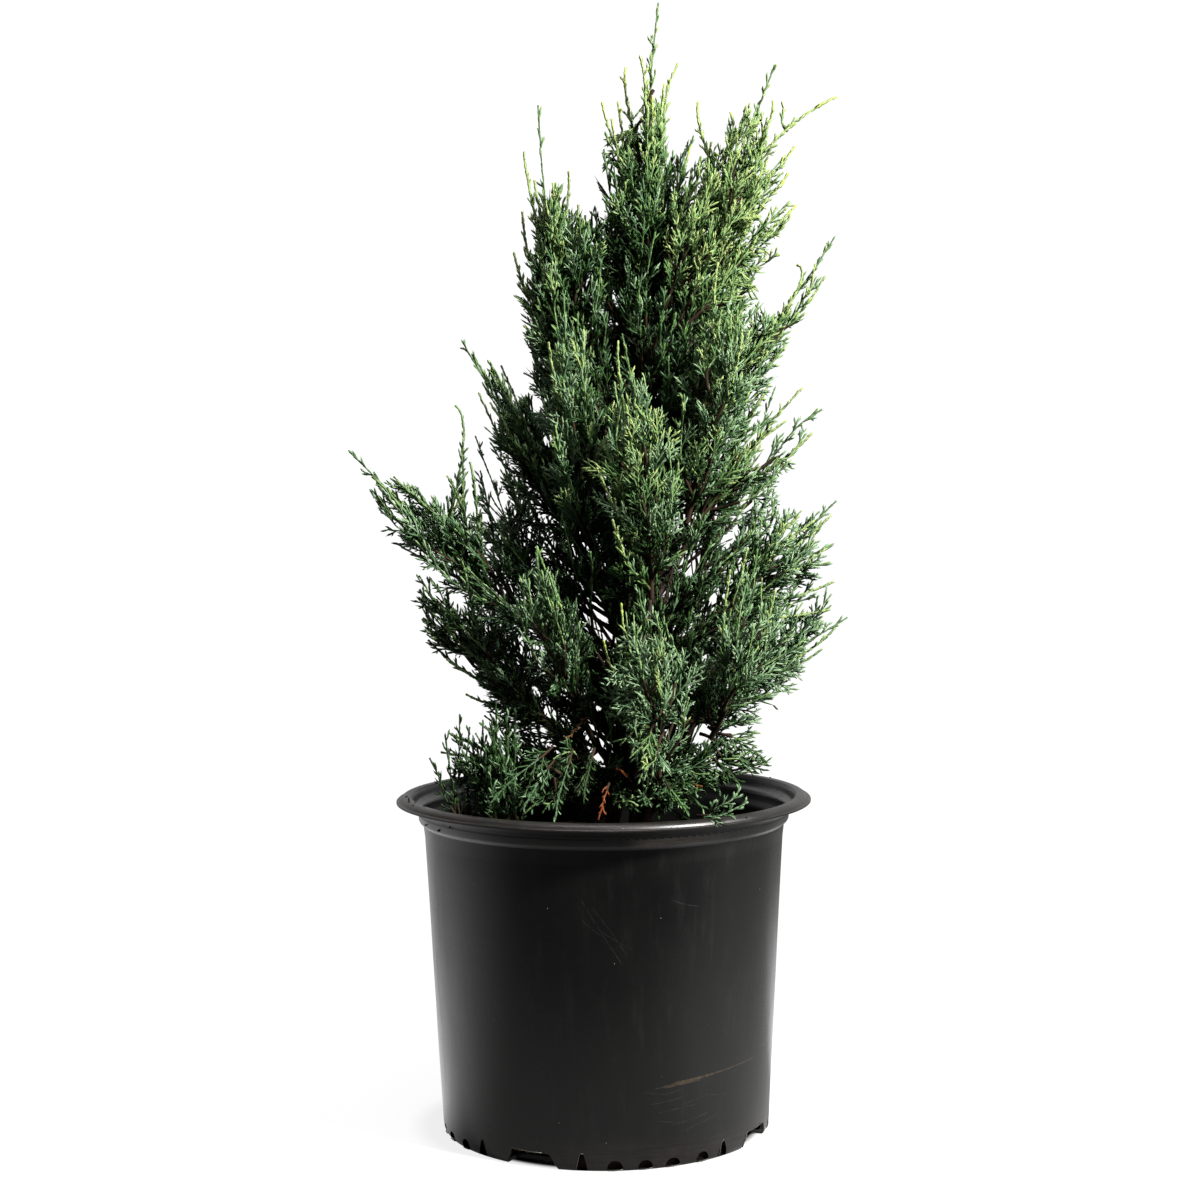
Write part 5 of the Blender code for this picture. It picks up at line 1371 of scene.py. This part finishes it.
    # branchlets, alternate along the spray
    pitch = np.select([KIND == 2, KIND == 4], [0.0030, 0.0036], 0.0036)
    count = np.maximum(((L - 0.0022) / pitch).astype(int), 0)
    owner = np.repeat(np.arange(len(B)), count)
    step = np.arange(len(owner)) - np.repeat(np.cumsum(count) - count, count)
    s = 0.0020 + (step + 0.25 + 0.40 * RNG.random(len(owner))) * pitch[owner]
    s = np.minimum(s, L[owner] * 0.95)
    u = s / L[owner]
    p0, t = on_spray(owner, s)
    sign = np.where(step % 2 == 0, 1.0, -1.0)
    out = unit(flat[owner] * sign[:, None] + up[owner] * (RNG.normal(size=len(owner)) * 0.22)[:, None])
    out = unit(out - t * (out * t).sum(1)[:, None])
    angle = np.radians(36.0 - 12.0 * u + RNG.normal(size=len(owner)) * 4.0)
    angle = np.where(KIND[owner] == 2, angle * 0.70, angle)
    out = np.where((KIND[owner] == 4)[:, None], unit(flat[owner] * sign[:, None]), out)
    d = turned_from(t, angle, out)
    length = L[owner] * (0.47 * (1 - u) ** 0.75 + 0.05) * (0.78 + 0.40 * RNG.random(len(owner))) + 0.0026
    length = np.where(KIND[owner] == 4, length * 0.72, length)
    length = np.clip(length, 0.0032, 0.0165)
    ok = ~sky_hit(p0 + d * (length * 0.8)[:, None], 1.0) | (KIND[owner] == 2)
    owner, p0, t, d, length, out, u = (v[ok] for v in (owner, p0, t, d, length, out, u))
    p1 = p0 + d * (length * 0.70)[:, None] + t * (length * 0.05)[:, None]
    p2 = p0 + d * length[:, None] + t * (length * 0.17)[:, None]
    radius = np.full(len(p0), BRANCHLET_R) * (0.88 + 0.24 * RNG.random(len(p0)))
    # each spray is darker at its foot; some of its ends are new growth
    own = shade[owner]
    dice = RNG.random(len(own))
    own = np.where((u < 0.42) & (dice < 0.75), OLDER[own], own)
    own = np.where((u > 0.55) & (dice > 0.62), NEWER[own], own)
    crop.add(p0, p1, p2, radius, own, 0)

    # scale-leaf tips on the longer branchlets
    tips = 0
    for place, lean, size, least in ((0.30, 1.0, 0.42, 0.0066), (0.52, -1.0, 0.36, 0.0084), (0.74, 1.0, 0.30, 0.0112)):
        m = length > least
        n = int(m.sum())
        tips += n
        q0 = p0[m] + d[m] * (length[m] * place)[:, None]
        side = np.cross(up[owner[m]], d[m])
        side = unit(side * lean + up[owner[m]] * (RNG.normal(size=n) * 0.5)[:, None])
        ang = np.radians(33.0 + RNG.normal(size=n) * 6.0)
        ang = np.where(KIND[owner[m]] == 2, ang * 0.75, ang)
        e = turned_from(d[m], ang, unit(side - d[m] * (side * d[m]).sum(1)[:, None]))
        ln = np.clip(length[m] * size * (0.75 + 0.5 * RNG.random(n)), 0.0022, 0.0062)
        q1 = q0 + e * (ln * 0.68)[:, None]
        q2 = q0 + e * ln[:, None] + d[m] * (ln * 0.08)[:, None]
        # a quarter of the tips, outside the infill and apron, take the paler shade: painted highlights
        lit = np.where((RNG.random(n) < 0.25) & (KIND[owner[m]] != 3), NEWER[own[m]], own[m])
        crop.add(q0, q1, q2, np.full(n, TIPLET_R) * (0.9 + 0.2 * RNG.random(n)), lit, 1)
    print("shoots", len(shoots), "sprays", len(B), "branchlets", len(p0), "tips", tips)
    return crop, twigs


def branchlet_meshes(crop):
    """Each branchlet a three-sided body in its own outline: narrow at the foot,
    full past the middle, closing to a blunt tip."""
    P0, P1, P2, R, S, FINE = crop.gather()
    total = 0
    for shade, (name, _) in enumerate(SHADES):
        m = S == shade
        if not m.any():
            continue
        parts_v, parts_t, base = [], [], 0
        for fine in (0, 1):
            k = m & (FINE == fine)
            n = int(k.sum())
            if not n:
                continue
            p0, p1, p2, r = P0[k], P1[k], P2[k], R[k]
            d = unit(p2 - p0)
            u = unit(np.cross(d, RNG.normal(size=(n, 3))))
            v = np.cross(d, u)
            ring = []
            for j in range(3):
                a = math.tau * j / 3
                ring.append(u * math.cos(a) + v * math.sin(a))
            rc = r[:, None]
            if fine:
                verts = [p0] + [p1 + w * rc for w in ring] + [p2]
                verts = np.stack(verts, 1)
                faces = [(0, 2, 1), (0, 3, 2), (0, 1, 3), (4, 1, 2), (4, 2, 3), (4, 3, 1)]
            else:
                verts = [p0 + w * rc * 0.70 for w in ring] + [p1 + w * rc for w in ring] + [p2]
                verts = np.stack(verts, 1)
                faces = [(0, 1, 4), (0, 4, 3), (1, 2, 5), (1, 5, 4), (2, 0, 3), (2, 3, 5),
                         (3, 4, 6), (4, 5, 6), (5, 3, 6)]
            per = verts.shape[1]
            t = np.array(faces)[None] + (np.arange(n) * per)[:, None, None]
            parts_v.append(verts.reshape(-1, 3))
            parts_t.append(t.reshape(-1, 3) + base)
            base += n * per
        verts, tris = np.vstack(parts_v), np.vstack(parts_t)
        total += len(tris)
        pieces = max(1, math.ceil(len(tris) / PIECE_LIMIT))
        # cut by triangle blocks, then renumber
        order = np.array_split(np.arange(len(tris)), pieces)
        for number, block in enumerate(order):
            used, inverse = np.unique(tris[block].ravel(), return_inverse=True)
            label = name if pieces == 1 else f"{name}_{number + 1}"
            obj = mesh_object(label, verts[used], inverse.reshape(-1, 3), SHADE_MATS[shade])
            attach(obj, "root")
        print(f"{name:14s} {len(tris):7d} triangles in {pieces}")
    print("foliage triangles", total)


def make_foliage():
    shoots = grow_shoots()
    crop, twigs = grow(shoots)
    branchlet_meshes(crop)
    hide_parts(*MASSES)
    for key, parts in twigs.items():
        v, t = joined(parts)
        pieces = max(1, math.ceil(len(t) / PIECE_LIMIT))
        print("twigs", key, len(t))
        obj = mesh_object("twigs_" + key, v, t, TWIG_MATS[key])
        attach(obj, "root")


# ---------------------------------------------------------- stage and light
def make_stage():
    floor = mesh_object("studio_floor", np.array([(-9, -9, 0), (9, -9, 0), (9, 9, 0), (-9, 9, 0)], float),
                        np.array([(0, 1, 2), (0, 2, 3)]), plain("pale_floor", (0.30, 0.30, 0.30), 0.85, 0.0), smooth=False)
    # an over-exposed sweep: only the shade close to the pot shows on it
    tree = floor.data.materials[0].node_tree
    out = tree.nodes["Material Output"]
    glow = tree.nodes.new("ShaderNodeEmission")
    path = tree.nodes.new("ShaderNodeLightPath")
    # in reflections the sweep is bright beside and behind the pot, less in front,
    # and falls away with distance; as fill it gives a part of that
    place = tree.nodes.new("ShaderNodeTexCoord")
    length = tree.nodes.new("ShaderNodeVectorMath")
    length.operation = "LENGTH"
    tree.links.new(place.outputs["Object"], length.inputs[0])
    split = tree.nodes.new("ShaderNodeSeparateXYZ")
    tree.links.new(place.outputs["Object"], split.inputs[0])

    def ramp(value, low, high, out_low, out_high):
        n = tree.nodes.new("ShaderNodeMapRange")
        n.interpolation_type = "SMOOTHSTEP"
        tree.links.new(value, n.inputs["Value"])
        for key, number in (("From Min", low), ("From Max", high), ("To Min", out_low), ("To Max", out_high)):
            n.inputs[key].default_value = number
        return n.outputs["Result"]

    def times(a, b):
        n = tree.nodes.new("ShaderNodeMath")
        n.operation = "MULTIPLY"
        tree.links.new(a, n.inputs[0])
        tree.links.new(b, n.inputs[1])
        return n.outputs[0]

    def plus(a, b):
        n = tree.nodes.new("ShaderNodeMath")
        n.operation = "ADD"
        for value, socket in ((a, n.inputs[0]), (b, n.inputs[1])):
            if isinstance(value, bpy.types.NodeSocket):
                tree.links.new(value, socket)
            else:
                socket.default_value = value
        return n.outputs[0]

    def chosen(factor, a, b):
        n = tree.nodes.new("ShaderNodeMix")
        n.data_type = "FLOAT"
        tree.links.new(factor, n.inputs[0])
        tree.links.new(a, n.inputs[2])
        tree.links.new(b, n.inputs[3])
        return n.outputs[0]

    bearing = tree.nodes.new("ShaderNodeMath")
    bearing.operation = "DIVIDE"
    tree.links.new(split.outputs["Y"], bearing.inputs[0])
    tree.links.new(length.outputs["Value"], bearing.inputs[1])
    bearing = bearing.outputs[0]
    right = plus(plus(ramp(bearing, -0.95, -0.60, 0.0, 0.36), ramp(bearing, -0.20, 0.25, 0.0, -0.14)),
                 plus(ramp(bearing, 0.54, 0.68, 0.0, 0.85), 0.14))
    left = plus(ramp(bearing, -0.65, 0.40, 0.0, 1.15), 0.14)
    right = times(right, ramp(length.outputs["Value"], 0.10, 1.05, 1.15, 0.08))
    left = times(left, ramp(length.outputs["Value"], 0.10, 1.05, 1.0, 0.45))
    near = chosen(ramp(split.outputs["X"], -0.08, 0.08, 0.0, 1.0), left, right)
    indirect = times(near, ramp(path.outputs["Is Glossy Ray"], 0.0, 1.0, 0.14, 1.0))
    # painted shadow: the floor's glow is dark under the pot, with a soft painted shade close on its left
    offset = tree.nodes.new("ShaderNodeVectorMath")
    offset.operation = "DISTANCE"
    tree.links.new(place.outputs["Object"], offset.inputs[0])
    offset.inputs[1].default_value = (-0.014, 0.002, 0.0)
    glow_with_painted_shadow = times(ramp(length.outputs["Value"], 0.113, 0.1205, 0.0, 0.95), ramp(offset.outputs["Value"], 0.118, 0.140, 0.88, 1.0))
    seen = tree.nodes.new("ShaderNodeMix")
    seen.data_type = "FLOAT"
    tree.links.new(path.outputs["Is Camera Ray"], seen.inputs[0])
    tree.links.new(indirect, seen.inputs[2])
    tree.links.new(glow_with_painted_shadow, seen.inputs[3])
    tree.links.new(seen.outputs[0], glow.inputs["Strength"])
    both = tree.nodes.new("ShaderNodeAddShader")
    tree.links.new(tree.nodes["Principled BSDF"].outputs[0], both.inputs[0])
    tree.links.new(glow.outputs[0], both.inputs[1])
    far = tree.nodes.new("ShaderNodeEmission")
    far.inputs["Strength"].default_value = 1.05
    fade = tree.nodes.new("ShaderNodeMapRange")
    fade.interpolation_type = "SMOOTHSTEP"
    fade.inputs["From Min"].default_value = 0.22
    fade.inputs["From Max"].default_value = 0.60
    tree.links.new(length.outputs["Value"], fade.inputs["Value"])
    pick = tree.nodes.new("ShaderNodeMath")
    pick.operation = "MULTIPLY"
    tree.links.new(fade.outputs["Result"], pick.inputs[0])
    tree.links.new(path.outputs["Is Camera Ray"], pick.inputs[1])
    mix = tree.nodes.new("ShaderNodeMixShader")
    tree.links.new(pick.outputs[0], mix.inputs["Fac"])
    tree.links.new(both.outputs[0], mix.inputs[1])
    tree.links.new(far.outputs[0], mix.inputs[2])
    tree.links.new(mix.outputs[0], out.inputs["Surface"])
    ahead = tree.nodes.new("ShaderNodeMapRange")
    ahead.interpolation_type = "SMOOTHSTEP"
    ahead.inputs["From Min"].default_value = -0.60
    ahead.inputs["From Max"].default_value = -0.16
    ahead.inputs["To Min"].default_value = 0.01
    ahead.inputs["To Max"].default_value = 0.12
    tree.links.new(split.outputs["Y"], ahead.inputs["Value"])
    grey = tree.nodes.new("ShaderNodeCombineColor")
    for socket in grey.inputs[:3]:
        tree.links.new(ahead.outputs["Result"], socket)
    tree.links.new(grey.outputs[0], tree.nodes["Principled BSDF"].inputs["Base Color"])

    world = bpy.data.worlds.new("studio")
    SCENE.world = world
    world.use_nodes = True
    tree = world.node_tree
    back = tree.nodes["Background"]
    back.inputs["Color"].default_value = (1.0, 1.0, 1.0, 1.0)
    coords = tree.nodes.new("ShaderNodeTexCoord")
    split = tree.nodes.new("ShaderNodeSeparateXYZ")
    tree.links.new(coords.outputs["Generated"], split.inputs[0])
    # bright sweep behind and to the sides, a dark room behind the viewer
    ramp = tree.nodes.new("ShaderNodeMapRange")
    ramp.interpolation_type = "SMOOTHSTEP"
    tree.links.new(split.outputs["Y"], ramp.inputs["Value"])
    ramp.inputs["From Min"].default_value = 0.0
    ramp.inputs["From Max"].default_value = 0.80
    ramp.inputs["To Min"].default_value = 0.02
    ramp.inputs["To Max"].default_value = 0.75
    path = tree.nodes.new("ShaderNodeLightPath")
    # the sweep shows whole in reflections and gives less than that as fill
    glossy = tree.nodes.new("ShaderNodeMapRange")
    tree.links.new(path.outputs["Is Glossy Ray"], glossy.inputs["Value"])
    glossy.inputs["To Min"].default_value = 0.16
    glossy.inputs["To Max"].default_value = 1.0
    share = tree.nodes.new("ShaderNodeMath")
    share.operation = "MULTIPLY"
    tree.links.new(ramp.outputs["Result"], share.inputs[0])
    tree.links.new(glossy.outputs["Result"], share.inputs[1])
    level = tree.nodes.new("ShaderNodeMix")
    level.data_type = "FLOAT"
    tree.links.new(path.outputs["Is Camera Ray"], level.inputs[0])
    tree.links.new(share.outputs[0], level.inputs[2])
    level.inputs[3].default_value = 1.05
    tree.links.new(level.outputs[0], back.inputs["Strength"])

    def softbox(name, at, target, size, power, colour=(1, 1, 1)):
        data = bpy.data.lights.new(name, "AREA")
        data.shape = "RECTANGLE"
        data.size, data.size_y = size
        data.energy = power
        data.color = colour
        obj = link(bpy.data.objects.new(name, data))
        obj.location = at
        obj.rotation_euler = (Vector(target) - Vector(at)).to_track_quat("-Z", "Y").to_euler()
        return obj

    softbox("key_right", (1.30, -1.00, 1.55), (0.05, 0.0, 0.45), (0.26, 0.26), 165.0, (1.0, 0.985, 0.95))
    softbox("top", (-0.1, -0.3, 2.3), (0.0, 0.0, 0.4), (0.6, 0.6), 18.0)
    softbox("left_fill", (-1.7, -0.7, 1.0), (0.0, 0.0, 0.35), (0.5, 1.4), 4.0, (0.96, 0.98, 1.0))


def make_camera():
    data = bpy.data.cameras.new("photo_view")
    data.lens = CAMERA_LENS
    data.sensor_width = 36.0
    data.clip_start = 0.01
    cam = link(bpy.data.objects.new("photo_view", data))
    cam.matrix_world = (
        Matrix.Translation(CAMERA_AT)
        @ Matrix.Rotation(math.radians(CAMERA_TURN), 4, "Z")
        @ Matrix.Rotation(math.radians(90.0 - CAMERA_PITCH), 4, "X")
        @ Matrix.Rotation(math.radians(CAMERA_ROLL), 4, "Z"))
    SCENE.camera = cam
    SCENE.view_settings.view_transform = "Standard"
    SCENE.view_settings.look = "None"


make_camera()
make_stage()
make_pot()
make_soil()
make_crumbs()
make_limbs()
make_foliage()

bpy.context.view_layer.update()
